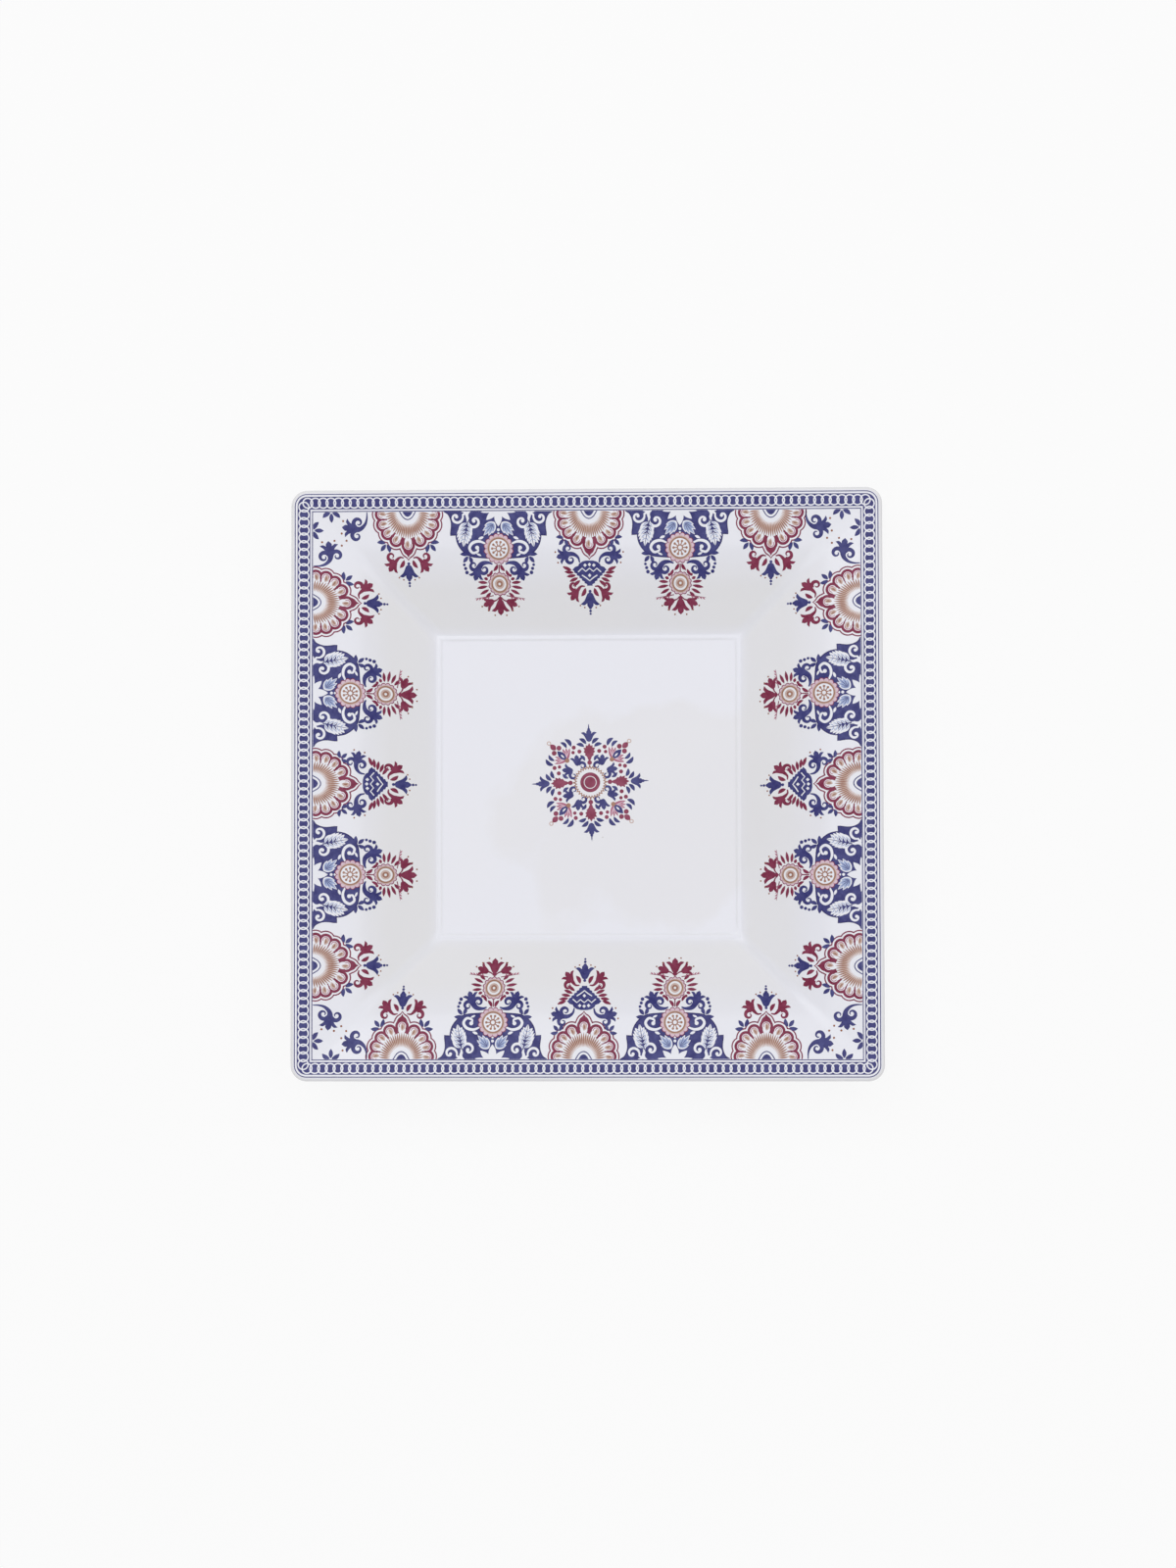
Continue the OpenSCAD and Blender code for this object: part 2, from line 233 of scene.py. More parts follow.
def smooth(points, steps=5):
    """A curve through the points, with each tangent taken from the two points beside it."""
    ends = [2 * points[0] - points[1], *points, 2 * points[-1] - points[-2]]
    path = []
    for a, b, c, d in zip(ends, ends[1:], ends[2:], ends[3:]):
        for k in range(steps):
            t = k / steps
            bend = (2 * a - 5 * b + 4 * c - d) * t**2 + (3 * b - a - 3 * c + d) * t**3
            path.append(b + ((c - a) * t + bend) / 2)
    return path + [points[-1]]


def ribbon(points, widths, steps=5):
    """A brush stroke through the points; its widths are spread evenly along it."""
    path = smooth(points, steps)
    last = len(path) - 1
    left, right = [], []
    for k, point in enumerate(path):
        ahead = path[min(k + 1, last)] - path[max(k - 1, 0)]
        place = k / last * (len(widths) - 1)
        low = min(int(place), len(widths) - 2)
        width = widths[low] + (widths[low + 1] - widths[low]) * (place - low)
        side = 1j * ahead / abs(ahead) * width / 2
        left.append(point + side)
        right.append(point - side)
    return [left + right[::-1]]


def leaf(root, tip, width, bow=0.0):
    middle = (root + tip) / 2 + 1j * (tip - root) * bow
    return ribbon([root, middle, tip], [width * share for share in LEAF_WIDTHS])


def spiral(centre, radii, angles, steps=10):
    path = []
    for k in range(steps + 1):
        share = k / steps
        radius = radii[0] + (radii[1] - radii[0]) * share
        path.append(centre + radius * turn(angles[0] + (angles[1] - angles[0]) * share))
    return path


print("a leaf has", len(leaf(0, 1j, 0.4)[0]), "points")


# %% Inked shapes
def inked(ink, *shapes):
    return [(ink, shape) for shape in shapes]


def moved(motif, at=0, heading=0, size=1):
    grow = size * turn(heading)
    return [(ink, [[at + grow * point for point in loop] for loop in shape]) for ink, shape in motif]


def reflected(points):
    """The other half of an outline, from its last point back to its first."""
    return [-point.conjugate() for point in reversed(points)]


def mirrored(motif):
    return [(ink, [[-point.conjugate() for point in loop] for loop in shape]) for ink, shape in motif]


def both(motif):
    return motif + mirrored(motif)


print("inks go on in order, and a later one covers an earlier one")

# %% [markdown]
# ## Section of the tray
# The real tray is pressed in a mould: a flat well with a low ridge round it, four walls that lean out, a
# rounded brow where they turn into a flatter rim, and a round lip. All of that is one section, so it is
# worked out once, with the same values as the CAD source. A point of the section is a complex number too:
# outwards and up, in mm. The CAD model has a sharp ledge and a sharp foot of the wall. Glaze fills such
# corners, so they are rounded here and the ledge becomes a soft ridge. A bevel on the CAD mesh could do that
# too, but its loose triangles would leave creases.

# %% Section values
tray_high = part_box("tray_body")[1]
HALF, HEIGHT = tray_high.x / MM, tray_high.z / MM
WALL, CORNER_R = 3.6, 5.5
CORE = HALF - CORNER_R
FLOOR_Z, UNDER_Z, RIDGE_Z = 6.5, 2.5, 6.9
FLOOR_HALF = 51.2
WALL_FOOT = 53 + 1j * RIDGE_Z
BROW_INSET, BROW_DROP, BROW_R = 26, 7, 45
BROW = complex(HALF - BROW_INSET, HEIGHT - BROW_DROP)
LIP_R = WALL / 2
LIP = complex(HALF - LIP_R, HEIGHT - LIP_R)


def slope(step):
    return math.degrees(cmath.phase(step))


WALL_SLOPE = slope(BROW - WALL_FOOT)
RIM_SLOPE = slope(LIP - BROW) + math.degrees(math.asin(LIP_R / abs(LIP - BROW)))
brow_reach = BROW_R / math.cos(math.radians(WALL_SLOPE - RIM_SLOPE) / 2)
BROW_CENTRE = BROW + brow_reach * turn((WALL_SLOPE + RIM_SLOPE) / 2 - 90)
print("slopes in degrees:", round(WALL_SLOPE, 2), round(RIM_SLOPE, 2))


# %% Ridge round the well
def rounded(before, corner, after, steps=4):
    """Short curve that takes the place of a sharp corner."""
    shares = [k / steps for k in range(steps + 1)]
    return [(1 - t) ** 2 * before + 2 * t * (1 - t) * corner + t * t * after for t in shares]


def by_ridge(out, z):
    return complex(FLOOR_HALF + out, z)


GUTTER_DIP = 0.12
ridge_foot, ridge_flank = by_ridge(-1.4, FLOOR_Z), by_ridge(-0.6, (FLOOR_Z + RIDGE_Z) / 2)
ridge_top, gutter = by_ridge(0.1, RIDGE_Z), by_ridge(0.9, RIDGE_Z - GUTTER_DIP)
ridge = rounded(ridge_foot, by_ridge(-0.9, FLOOR_Z), ridge_flank)
ridge += rounded(ridge_flank, by_ridge(-0.3, RIDGE_Z), ridge_top)[1:]
ridge += rounded(ridge_top, by_ridge(0.4, RIDGE_Z), gutter)[1:]
print("ridge stands", round(RIDGE_Z - FLOOR_Z, 2), "mm above the well")


# %% Upper line of the section
def arc(centre, radius, start, end, steps):
    return [centre + radius * turn(start + (end - start) * k / steps) for k in range(steps + 1)]


def on_line(point, degrees, x):
    return complex(x, point.imag + (x - point.real) * math.tan(math.radians(degrees)))


WALL_UP, RIM_UP = WALL_SLOPE + 90, RIM_SLOPE + 90
LIP_TOP = LIP + LIP_R * turn(RIM_UP)
well_line = [1j * FLOOR_Z, by_ridge(-2.4, FLOOR_Z)]
wall_start = rounded(gutter, WALL_FOOT - 0.2, WALL_FOOT + 2.4 * turn(WALL_SLOPE), 6)[1:]
wall_line = [on_line(WALL_FOOT, WALL_SLOPE, x) for x in (56.0, 66.9)]
brow_line = arc(BROW_CENTRE, BROW_R, WALL_UP, RIM_UP, 12)
rim_line = [on_line(LIP_TOP, RIM_SLOPE, x) for x in (82.6, 92.0, CORE, 97.3)]
lip_line = arc(LIP, LIP_R, RIM_UP, RIM_UP - 180, 18)
upper = well_line + ridge + wall_start + wall_line + brow_line + rim_line + lip_line
print("upper line has", len(upper), "points")

# %% Lower line
UNDER_TURN = 1.5
under_rim = [on_line(lip_line[-1], RIM_SLOPE, x) for x in (97.9, CORE, 84.0)]
under_brow = arc(BROW_CENTRE, BROW_R - WALL, RIM_UP, WALL_UP, 12)
fall = turn(WALL_SLOPE) * (under_brow[-1].imag - UNDER_Z) / math.sin(math.radians(WALL_SLOPE))
under_foot = under_brow[-1] - fall
under_turn = rounded(under_foot + UNDER_TURN * turn(WALL_SLOPE), under_foot, under_foot - UNDER_TURN)
lower = [*under_rim, *under_brow, *under_turn, under_turn[-1] - 1, 1j * UNDER_Z]
section = upper + lower
print("section points:", len(section))

# %% [markdown]
# ## Height of the glaze
# The transfers lie on the glaze, so they need its height at any place. Inside the rim it depends on the
# distance to the nearest side, and in the turned corners on the distance from the corner's centre. A ray cast
# down onto the mesh would find it too, only slower. Reading it from the same section points as the mesh keeps
# every film exactly on the facets.

# %% Glaze height
glaze_line = [point for point in upper if point.real < HALF - 0.2]
glaze_line = [a for a, b in zip(glaze_line, glaze_line[1:]) if b.real > a.real]
GLAZE_X = np.array([point.real for point in glaze_line])
GLAZE_Z = np.array([point.imag for point in glaze_line])


def glaze_height(x, y):
    across, along = np.abs(x), np.abs(y)
    in_corner = (across > CORE) & (along > CORE)
    reach = np.where(in_corner, CORE + np.hypot(across - CORE, along - CORE), np.maximum(across, along))
    return np.interp(reach, GLAZE_X, GLAZE_Z)


print("glaze at the middle and at the brow:", glaze_height(np.array([0, 74.0]), np.array([0, 0])).round(2))

# %% [markdown]
# ## Body
# A lathe can't make a square tray, and a bent sheet would not give the mitres. The mould maker's way works:
# the section is drawn along one side and cut off at the two diagonals, its rim is spun a quarter turn for the
# corner, and the quarter is copied round. The foot ring is swept the same way and joined on with a boolean.

# %% Draw the section point by point
def start_piece(name):
    bpy.ops.object.select_all(action="DESELECT")
    bpy.ops.mesh.primitive_plane_add(size=0.01)
    piece = bpy.context.active_object
    piece.name = name
    bpy.ops.object.mode_set(mode="EDIT")
    bpy.ops.mesh.merge(type="CENTER")
    return piece


def draw_section(points, y):
    """Extrudes the one vertex of a new piece along a line of section points, all at one y."""
    here = Vector((0, 0, 0))
    for k, point in enumerate(points):
        there = Vector((point.real, y, point.imag)) * MM
        if k == 0:
            bpy.ops.transform.translate(value=there - here)
        else:
            bpy.ops.mesh.extrude_region_move(TRANSFORM_OT_translate={"value": there - here})
        here = there


tray = start_piece("porcelain_tray")
draw_section(section, -CORE)
bpy.ops.object.mode_set(mode="OBJECT")
print("section drawn with", len(tray.data.vertices), "points")


# %% Spin the rim's corner
def choose(piece, kind, test):
    """Selects the vertices, edges or faces, in edit mode, whose places pass a test."""
    shape = bmesh.from_edit_mesh(piece.data)
    bpy.ops.mesh.select_mode(type={"verts": "VERT", "edges": "EDGE", "faces": "FACE"}[kind])
    bpy.ops.mesh.select_all(action="DESELECT")
    chosen = [part for part in getattr(shape, kind) if test(part)]
    for part in chosen:
        part.select_set(True)
    bmesh.update_edit_mesh(piece.data)
    return len(chosen)


bpy.ops.object.duplicate()
corner = bpy.context.active_object
bpy.ops.object.mode_set(mode="EDIT")
choose(corner, "verts", lambda v: v.co.x < (CORE - 0.01) * MM)
bpy.ops.mesh.delete(type="VERT")
bpy.ops.mesh.select_all(action="SELECT")
bpy.ops.transform.translate(value=(0, 2 * CORE * MM, 0))
bpy.ops.mesh.spin(steps=12, angle=-math.pi / 2, center=(CORE * MM, CORE * MM, 0), axis=(0, 0, 1))
bpy.ops.object.mode_set(mode="OBJECT")
print("corner reaches y", round(max(v.co.y for v in corner.data.vertices) / MM, 2), "mm")


# %% Draw out one side and cut the mitres
SOFT_MITRE = 2.6


def select_only(piece):
    bpy.ops.object.select_all(action="DESELECT")
    piece.select_set(True)
    bpy.context.view_layer.objects.active = piece


select_only(tray)
bpy.ops.object.mode_set(mode="EDIT")
bpy.ops.mesh.select_all(action="SELECT")
bpy.ops.mesh.extrude_region_move(TRANSFORM_OT_translate={"value": (0, 2 * CORE * MM, 0)})
for across in (1, -1):
    bpy.ops.mesh.select_all(action="SELECT")
    bpy.ops.mesh.bisect(plane_co=(0, 0, 0), plane_no=(1, across, 0), clear_inner=True)
    bpy.ops.mesh.select_all(action="SELECT")
    bpy.ops.mesh.bisect(plane_co=(math.sqrt(2) * SOFT_MITRE * MM, 0, 0), plane_no=(1, across, 0))
bpy.ops.object.mode_set(mode="OBJECT")
corner.select_set(True)
bpy.ops.object.join()
print("one quarter has", len(tray.data.polygons), "faces")


# %% Copy the quarter round
MERGE = 0.002


def copy_round():
    """Three more quarter turns of everything in the active piece, then one closed skin."""
    bpy.ops.object.mode_set(mode="EDIT")
    bpy.ops.mesh.select_mode(type="VERT")
    bpy.ops.mesh.select_all(action="SELECT")
    for _ in range(3):
        bpy.ops.mesh.duplicate()
        bpy.ops.transform.rotate(value=math.pi / 2, orient_axis="Z", center_override=(0, 0, 0))
    bpy.ops.mesh.select_all(action="SELECT")
    bpy.ops.mesh.remove_doubles(threshold=MERGE * MM)
    bpy.ops.mesh.normals_make_consistent(inside=False)
    bpy.ops.object.mode_set(mode="OBJECT")


def open_edges(piece):
    shape = bmesh.new()
    shape.from_mesh(piece.data)
    count = sum(not edge.is_manifold for edge in shape.edges)
    shape.free()
    return count


copy_round()
print("tray skin:", len(tray.data.polygons), "faces,", open_edges(tray), "open edges")

# %% Foot ring
FOOT_HALF, FOOT_FACE, FOOT_R, FOOT_DRAFT = 49, 3, 9, 14
FOOT_ROOT = UNDER_Z + 1
spread = FOOT_ROOT * math.tan(math.radians(FOOT_DRAFT))
foot_core = FOOT_HALF - FOOT_R
foot_inside, root_up = FOOT_HALF - FOOT_FACE, 1j * FOOT_ROOT
foot_section = [foot_inside - spread + root_up, foot_inside, FOOT_HALF, FOOT_HALF + spread + root_up]
foot = start_piece("foot_ring")
draw_section(foot_section, -foot_core)
choose(foot, "verts", lambda v: v.co.z > 0.5 * FOOT_ROOT * MM)
bpy.ops.mesh.edge_face_add()
bpy.ops.mesh.select_all(action="SELECT")
bpy.ops.mesh.extrude_region_move(TRANSFORM_OT_translate={"value": (0, 2 * foot_core * MM, 0)})
bpy.ops.mesh.spin(steps=10, angle=-math.pi / 2, center=(foot_core * MM, foot_core * MM, 0), axis=(0, 0, 1))
bpy.ops.object.mode_set(mode="OBJECT")
copy_round()
print("foot ring:", len(foot.data.polygons), "faces,", open_edges(foot), "open edges")


# %% Soften the foot and join it on
FOOT_SOFT = 0.6


def standing_edge(edge):
    """Edges between the face that the tray stands on and the foot's flanks."""
    level = [abs(face.normal.z) > 0.99 for face in edge.link_faces]
    return all(vert.co.z < 0.1 * MM for vert in edge.verts) and any(level) and not all(level)


bpy.ops.object.mode_set(mode="EDIT")
choose(foot, "edges", standing_edge)
bpy.ops.mesh.bevel(offset=FOOT_SOFT * MM, segments=3)
bpy.ops.object.mode_set(mode="OBJECT")
select_only(tray)
join = tray.modifiers.new("foot", "BOOLEAN")
join.operation, join.solver, join.object = "UNION", "EXACT", foot
bpy.ops.object.modifier_apply(modifier=join.name)
bpy.data.objects.remove(foot)
print("tray with foot:", len(tray.data.polygons), "faces,", open_edges(tray), "open edges")


# %% Shading
SMOOTH_ANGLE = math.radians(18)


def in_mitre(edge):
    """Edges of the four creases between the walls, from the well's ridge to the turned corners."""
    ends = [vert.co / MM for vert in edge.verts]
    on_diagonal = all(abs(abs(end.x) - abs(end.y)) < 0.01 for end in ends)
    return on_diagonal and all(end.z > FLOOR_Z and FLOOR_HALF - 2 < abs(end.x) < CORE + 0.01 for end in ends)


select_only(tray)
bpy.ops.object.shade_smooth_by_angle(angle=SMOOTH_ANGLE)
bpy.ops.object.mode_set(mode="EDIT")
mitres = choose(tray, "edges", in_mitre)
bpy.ops.mesh.mark_sharp(clear=True)
bpy.ops.object.mode_set(mode="OBJECT")
print("softened mitre edges:", mitres)
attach(tray, "root")
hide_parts("tray_body")
print("tray box in mm:", [round(v / MM, 2) for v in tray.dimensions])

# %% [markdown]
# ## Finishes
# The porcelain is white clay under a clear gloss glaze. The glaze pools on level places, a little bluer, and
# is thin on the slopes. Up close it is wavy and has rare pinholes. Over a ragged oval right of the middle and
# a little below it, the level glaze is faintly greyer and darker. Transfers are fired colour: their tone is
# uneven where the print is thin. A painted image could show all this, but it would be tied to one unwrapped
# mesh. Node groups on Object coordinates stay in place from any side, and each finish that uses a group gives
# it its own values.

# %% Group: uneven print
COLOUR, VALUE, WHITE = "NodeSocketColor", "NodeSocketFloat", (1, 1, 1, 1)


def new_group(name, inputs, outputs):
    """A node group, with the sockets to read from and the sockets to write to inside it."""
    group = bpy.data.node_groups.new(name, "ShaderNodeTree")
    for label, kind, value in inputs:
        socket = group.interface.new_socket(name=label, in_out="INPUT", socket_type=kind)
        socket.default_value = value
    for label, kind in outputs:
        group.interface.new_socket(name=label, in_out="OUTPUT", socket_type=kind)
    return group, group.nodes.new("NodeGroupInput").outputs, group.nodes.new("NodeGroupOutput").inputs


def noise(tree, place, scale, detail=3):
    texture = tree.nodes.new("ShaderNodeTexNoise")
    texture.inputs["Scale"].default_value = scale
    texture.inputs["Detail"].default_value = detail
    tree.links.new(place, texture.inputs["Vector"])
    return texture.outputs["Fac"]


def mix_colours(tree, share, first, second):
    mix = tree.nodes.new("ShaderNodeMix")
    mix.data_type = "RGBA"
    for source, label in ((share, "Factor"), (first, "A"), (second, "B")):
        tree.links.new(source, mix.inputs[label])
    return mix.outputs["Result"]


print_group, print_in, print_out = new_group(
    "uneven_print",
    [("Ink", COLOUR, WHITE), ("Thin ink", COLOUR, WHITE), ("Unevenness", VALUE, 0.5)],
    [("Color", COLOUR), ("Gloss", VALUE)],
)
place = print_group.nodes.new("ShaderNodeTexCoord").outputs["Object"]
clouds = spread_out(print_group, noise(print_group, place, scale=420, detail=4), 0.35, 0.65, 0, 1)
thinness = calculate(print_group, "MULTIPLY", clouds, print_in["Unevenness"])
tone = mix_colours(print_group, thinness, print_in["Ink"], print_in["Thin ink"])
gloss = spread_out(print_group, noise(print_group, place, scale=900), 0.3, 0.7, 0.16, 0.3)
print_group.links.new(tone, print_out["Color"])
print_group.links.new(gloss, print_out["Gloss"])
print("group:", print_group.name)

# %% Group: glaze, pooled and greyed
glaze_group, glaze_in, glaze_out = new_group(
    "gloss_glaze",
    [(label, COLOUR, WHITE) for label in ("Thin glaze", "Pooled glaze", "Worn glaze", "Pinhole")],
    [("Color", COLOUR), ("Gloss", VALUE), ("Waves", VALUE)],
)
surface = glaze_group.nodes.new("ShaderNodeTexCoord").outputs
place = surface["Object"]
facing = glaze_group.nodes.new("ShaderNodeSeparateXYZ")
glaze_group.links.new(surface["Normal"], facing.inputs[0])
level = spread_out(glaze_group, facing.outputs["Z"], 0.78, 0.96, 0, 1)
drift = spread_out(glaze_group, noise(glaze_group, place, scale=18, detail=2), 0.3, 0.7, -0.25, 0.25)
pooled = calculate(glaze_group, "ADD", level, drift, clamp=True)
# Over a ragged oval right of the middle and a little below it, the level glaze is greyer and darker.
GREYED_X, GREYED_Y, GREYED_WIDE, GREYED_TALL = 27, -9, 53, 42
spot = glaze_group.nodes.new("ShaderNodeMapping")
spot.inputs["Location"].default_value = (-GREYED_X / GREYED_WIDE, -GREYED_Y / GREYED_TALL, 0)
spot.inputs["Scale"].default_value = (1 / (GREYED_WIDE * MM), 1 / (GREYED_TALL * MM), 0)
glaze_group.links.new(place, spot.inputs["Vector"])
ragged = spread_out(glaze_group, noise(glaze_group, place, scale=24, detail=6), 0.3, 0.7, -0.3, 0.3)
reach = calculate(glaze_group, "ADD", distance(glaze_group, spot.outputs["Vector"]), ragged)
greyed = spread_out(glaze_group, reach, 0.9, 1.05, 1, 0)
level_glaze = mix_colours(glaze_group, greyed, glaze_in["Pooled glaze"], glaze_in["Worn glaze"])
clear = mix_colours(glaze_group, pooled, glaze_in["Thin glaze"], level_glaze)
print("worn patch:", 2 * GREYED_WIDE, "x", 2 * GREYED_TALL, "mm")

# %% Group: glaze, pinholes and waves
cells = glaze_group.nodes.new("ShaderNodeTexVoronoi")
cells.inputs["Scale"].default_value = 55
glaze_group.links.new(place, cells.inputs["Vector"])
pinholes = spread_out(glaze_group, cells.outputs["Distance"], 0.010, 0.018, 1, 0)
speckled = mix_colours(glaze_group, pinholes, clear, glaze_in["Pinhole"])
gloss = spread_out(glaze_group, noise(glaze_group, place, scale=60), 0.3, 0.7, 0.1, 0.2)
waves = noise(glaze_group, place, scale=140, detail=1)
for result, label in ((speckled, "Color"), (gloss, "Gloss"), (waves, "Waves")):
    glaze_group.links.new(result, glaze_out[label])
print("group:", glaze_group.name)


# %% Porcelain
def add_group(tree, group, **values):
    placed = tree.nodes.new("ShaderNodeGroup")
    placed.node_tree = group
    for label, value in values.items():
        placed.inputs[label.replace("_", " ")].default_value = value
    return placed.outputs


porcelain, tree, shader = new_material("porcelain_glaze")
glaze = add_group(
    tree,
    glaze_group,
    Thin_glaze=(0.814, 0.812, 0.828, 1),
    Pooled_glaze=(0.802, 0.807, 0.864, 1),
    # Greyer, darker glaze for the ragged oval right of the middle.
    Worn_glaze=(0.778, 0.776, 0.812, 1),
    Pinhole=(0.62, 0.60, 0.60, 1),
)
bump = tree.nodes.new("ShaderNodeBump")
bump.inputs["Strength"].default_value = 0.15
bump.inputs["Distance"].default_value = 0.2 * MM
tree.links.new(glaze["Color"], shader.inputs["Base Color"])
tree.links.new(glaze["Gloss"], shader.inputs["Roughness"])
tree.links.new(glaze["Waves"], bump.inputs["Height"])
tree.links.new(bump.outputs["Normal"], shader.inputs["Normal"])
print("finish:", porcelain.name)

# %% Bare clay under the foot
BARE_BELOW = 0.25
BISCUIT = {"Ink": (0.68, 0.65, 0.60, 1), "Thin_ink": (0.50, 0.47, 0.43, 1)}
clay, tree, shader = new_material("bare_clay")
biscuit = add_group(tree, print_group, **BISCUIT, Unevenness=0.6)
tree.links.new(biscuit["Color"], shader.inputs["Base Color"])
shader.inputs["Roughness"].default_value = 0.8
shader.inputs["Specular IOR Level"].default_value = 0.2
tray.data.materials.clear()
tray.data.materials.append(porcelain)
tray.data.materials.append(clay)
for face in tray.data.polygons:
    face.material_index = int(face.center.z < BARE_BELOW * MM)
print("clay faces:", sum(face.material_index for face in tray.data.polygons))

# %% Inks
INKS = {
    "blue": ((0.026, 0.026, 0.150), (0.075, 0.080, 0.250)),
    "dark": ((0.018, 0.014, 0.110), (0.045, 0.042, 0.170)),
    "pale": ((0.300, 0.370, 0.600), (0.420, 0.490, 0.680)),
    "burgundy": ((0.175, 0.010, 0.045), (0.270, 0.045, 0.100)),
    "red": ((0.210, 0.025, 0.065), (0.320, 0.075, 0.140)),
    "rose": ((0.380, 0.100, 0.175), (0.480, 0.190, 0.270)),
    "pink": ((0.650, 0.470, 0.570), (0.710, 0.580, 0.650)),
    "tan": ((0.310, 0.145, 0.100), (0.430, 0.250, 0.185)),
    "brown": ((0.250, 0.080, 0.035), (0.350, 0.150, 0.080)),
    "sand": ((0.550, 0.400, 0.360), (0.640, 0.520, 0.480)),
}
ENAMELS = {}
for ink, (full, thin) in INKS.items():
    ENAMELS[ink], tree, shader = new_material(ink + "_enamel")
    wash = add_group(tree, print_group, Ink=(*full, 1), Thin_ink=(*thin, 1), Unevenness=0.6)
    tree.links.new(wash["Color"], shader.inputs["Base Color"])
    tree.links.new(wash["Gloss"], shader.inputs["Roughness"])
    shader.inputs["Specular IOR Level"].default_value = 0.25
print("inks:", ", ".join(ENAMELS))

# %% [markdown]
# ## Stock forms of the ornament
# Lambrequin ornament is put together from a few old forms that come back at every scale: an open flower, the
# same flower with two curls, a sprig of three leaves, and a scalloped rosette. Drawing each flower by itself
# would hide what they share, so each form is drawn once, at unit size or at its own, and placed many times.

# %% Flower, curled flower and sprig
def flower(ink):
    """Open flower of unit length along +real, with three pointed petals."""
    cup = smooth([0, 0.10 + 0.19j, 0.36 + 0.32j, 0.60 + 0.45j, 0.84 + 0.72j], 4)
    side_petal = smooth([0.84 + 0.72j, 0.90 + 0.45j, 0.76 + 0.23j], 4)[1:]
    middle_petal = smooth([0.76 + 0.23j, 0.96 + 0.21j, 1.18], 4)[1:]
    half = cup + side_petal + middle_petal
    return inked(ink, [half + [point.conjugate() for point in half[-2:0:-1]]])


def curled_flower(ink, curls=(1, -1)):
    """The same flower with a curl at its foot, on one hand or on both."""
    path = spiral(-0.06 + 0.50j, (0.42, 0.10), (-64, 310), 12)
    curl = ribbon(path, [0.34, 0.32, 0.27, 0.20, 0.14, 0.10, 0.04], 3)[0]
    shapes = [[curl] if side > 0 else [[point.conjugate() for point in curl]] for side in curls]
    return inked(ink, *shapes) + flower(ink)


def seeds(radius):
    """Dots round the petals' tips of a flower of unit length."""
    places = (0.70 + 0.98j, 1.14 + 0.48j, 1.14 - 0.48j)
    return inked("brown", *[disc(place, radius, 10) for place in places])


def sprig(ink, length):
    """Three leaves fanned out along +imag."""
    leaves = []
    for lean, bow in ((-58, -0.1), (0, 0), (58, 0.1)):
        leaves.append(leaf(0.1 * length * turn(90 + lean), length * turn(90 + lean), 0.42 * length, bow))
    return inked(ink, *leaves)


print("a curled flower has", len(curled_flower("blue")), "shapes")


# %% Rosette
def rosette(radius, ring_radius, lobes):
    """Pink scalloped flower with a burgundy edge, and a gilt ring round a bare middle."""
    dip = 0.11 * radius
    petals = inked("burgundy", scalloped(0, radius, lobes, dip))
    petals += inked("pink", scalloped(0, radius - 0.3, lobes, dip))
    for k in range(lobes):
        spoke = turn(360 * k / lobes)
        petals += inked("rose", leaf(spoke * (ring_radius + 0.3), spoke * (radius - 0.5), 0.22))
    gilt = inked("sand", ring(0, ring_radius + 0.32, 0.5, 36)) + inked("tan", disc(0, ring_radius, 36))
    return petals + gilt + inked("bare", disc(0, ring_radius - 0.52, 36))


print("the hem's rosette has", len(rosette(5.2, 3.65, 16)), "shapes")

# %% [markdown]
# ## Lambrequin
# The widest pendant hangs like a cloth from a rail: flared corners, notched shoulders and a bell-shaped hem.
# Everything white in it is bare porcelain, left free when the blue was printed. So the white forms are drawn
# with the ink "bare", which cuts them out of the blue instead of adding a white layer.

# %% Edge of the cloth
CLOTH_HALF = 18.4


def cloth_edge():
    """Edge of the cloth from the rail at the right, round the hem, to the rail at the left."""
    flare = smooth([CLOTH_HALF + 0j, 16.8 + 1.2j, 15.9 + 4.0j, 16.3 + 7.9j])
    hem = smooth([14.5 + 7.8j, 13.8 + 10.8j, 11.9 + 13.4j, 9.2 + 14.9j, 4 + 15.4j])
    return flare + hem + reflected(flare + hem)


print("the cloth's edge has", len(cloth_edge()), "points")


# %% Daisy, scrolls and feathers left bare in it
def half_daisy():
    petals = []
    for lean, reach, width in ((84, 5.9, 1.5), (52, 5.2, 2.1), (0, 5.3, 2.6)):
        for side in (-1, 1):
            petals.append(leaf(-0.9j, reach * turn(90 + side * lean) - 0.3j, width))
    return inked("bare", *petals)


def corner_scrolls():
    stem = ribbon([9.5 - 0.4j, 10.6 + 0.9j, 10.3 + 2.7j], [0.8, 1.1, 0.8])
    inner = spiral(8.1 + 3.3j, (2.5, 0.55), (-35, 350), 14)
    inner = ribbon(inner, [0.5, 0.85, 0.9, 0.85, 0.75, 0.65, 0.6], 3)
    outer = spiral(14.2 + 1.95j, (2.4, 0.45), (205, -130), 12)
    outer = ribbon(outer, [0.5, 0.85, 0.85, 0.75, 0.65, 0.55], 3)
    root = ribbon([10.3 + 0.5j, 11.4 + 0.8j, 12.1 + 1.3j], [0.8, 0.8, 0.6])
    wisp = leaf(9.9 + 0.4j, 12.6 + 0.1j, 0.5)
    return inked("bare", stem, inner, outer, root, wisp, disc(8.3 + 3.2j, 0.6), disc(14.1 + 1.8j, 0.55))


def feather():
    """Bare leaf spray with a blue rib and pale veins."""
    rib = [10.3 + 3.2j, 11.1 + 7.0j, 12.0 + 11.8j]
    barbs, veins = [leaf(rib[1], rib[2], 1.6)], []
    for k, reach in enumerate((3.7, 4.1, 3.9, 3.2, 2.4)):
        foot = 10.5 + 0.25 * k + 1j * (3.9 + 1.3 * k)
        for lean, bow, share in ((34, -0.12, 1), (122, 0.12, 0.82)):
            barbs.append(leaf(foot, foot + share * reach * turn(lean), 1.05, bow))
            veins.append(leaf(foot, foot + 0.7 * share * reach * turn(lean), 0.3, bow))
    return inked("bare", *barbs) + inked("blue", ribbon(rib, [0.4, 0.3, 0.1])) + inked("pale", *veins)


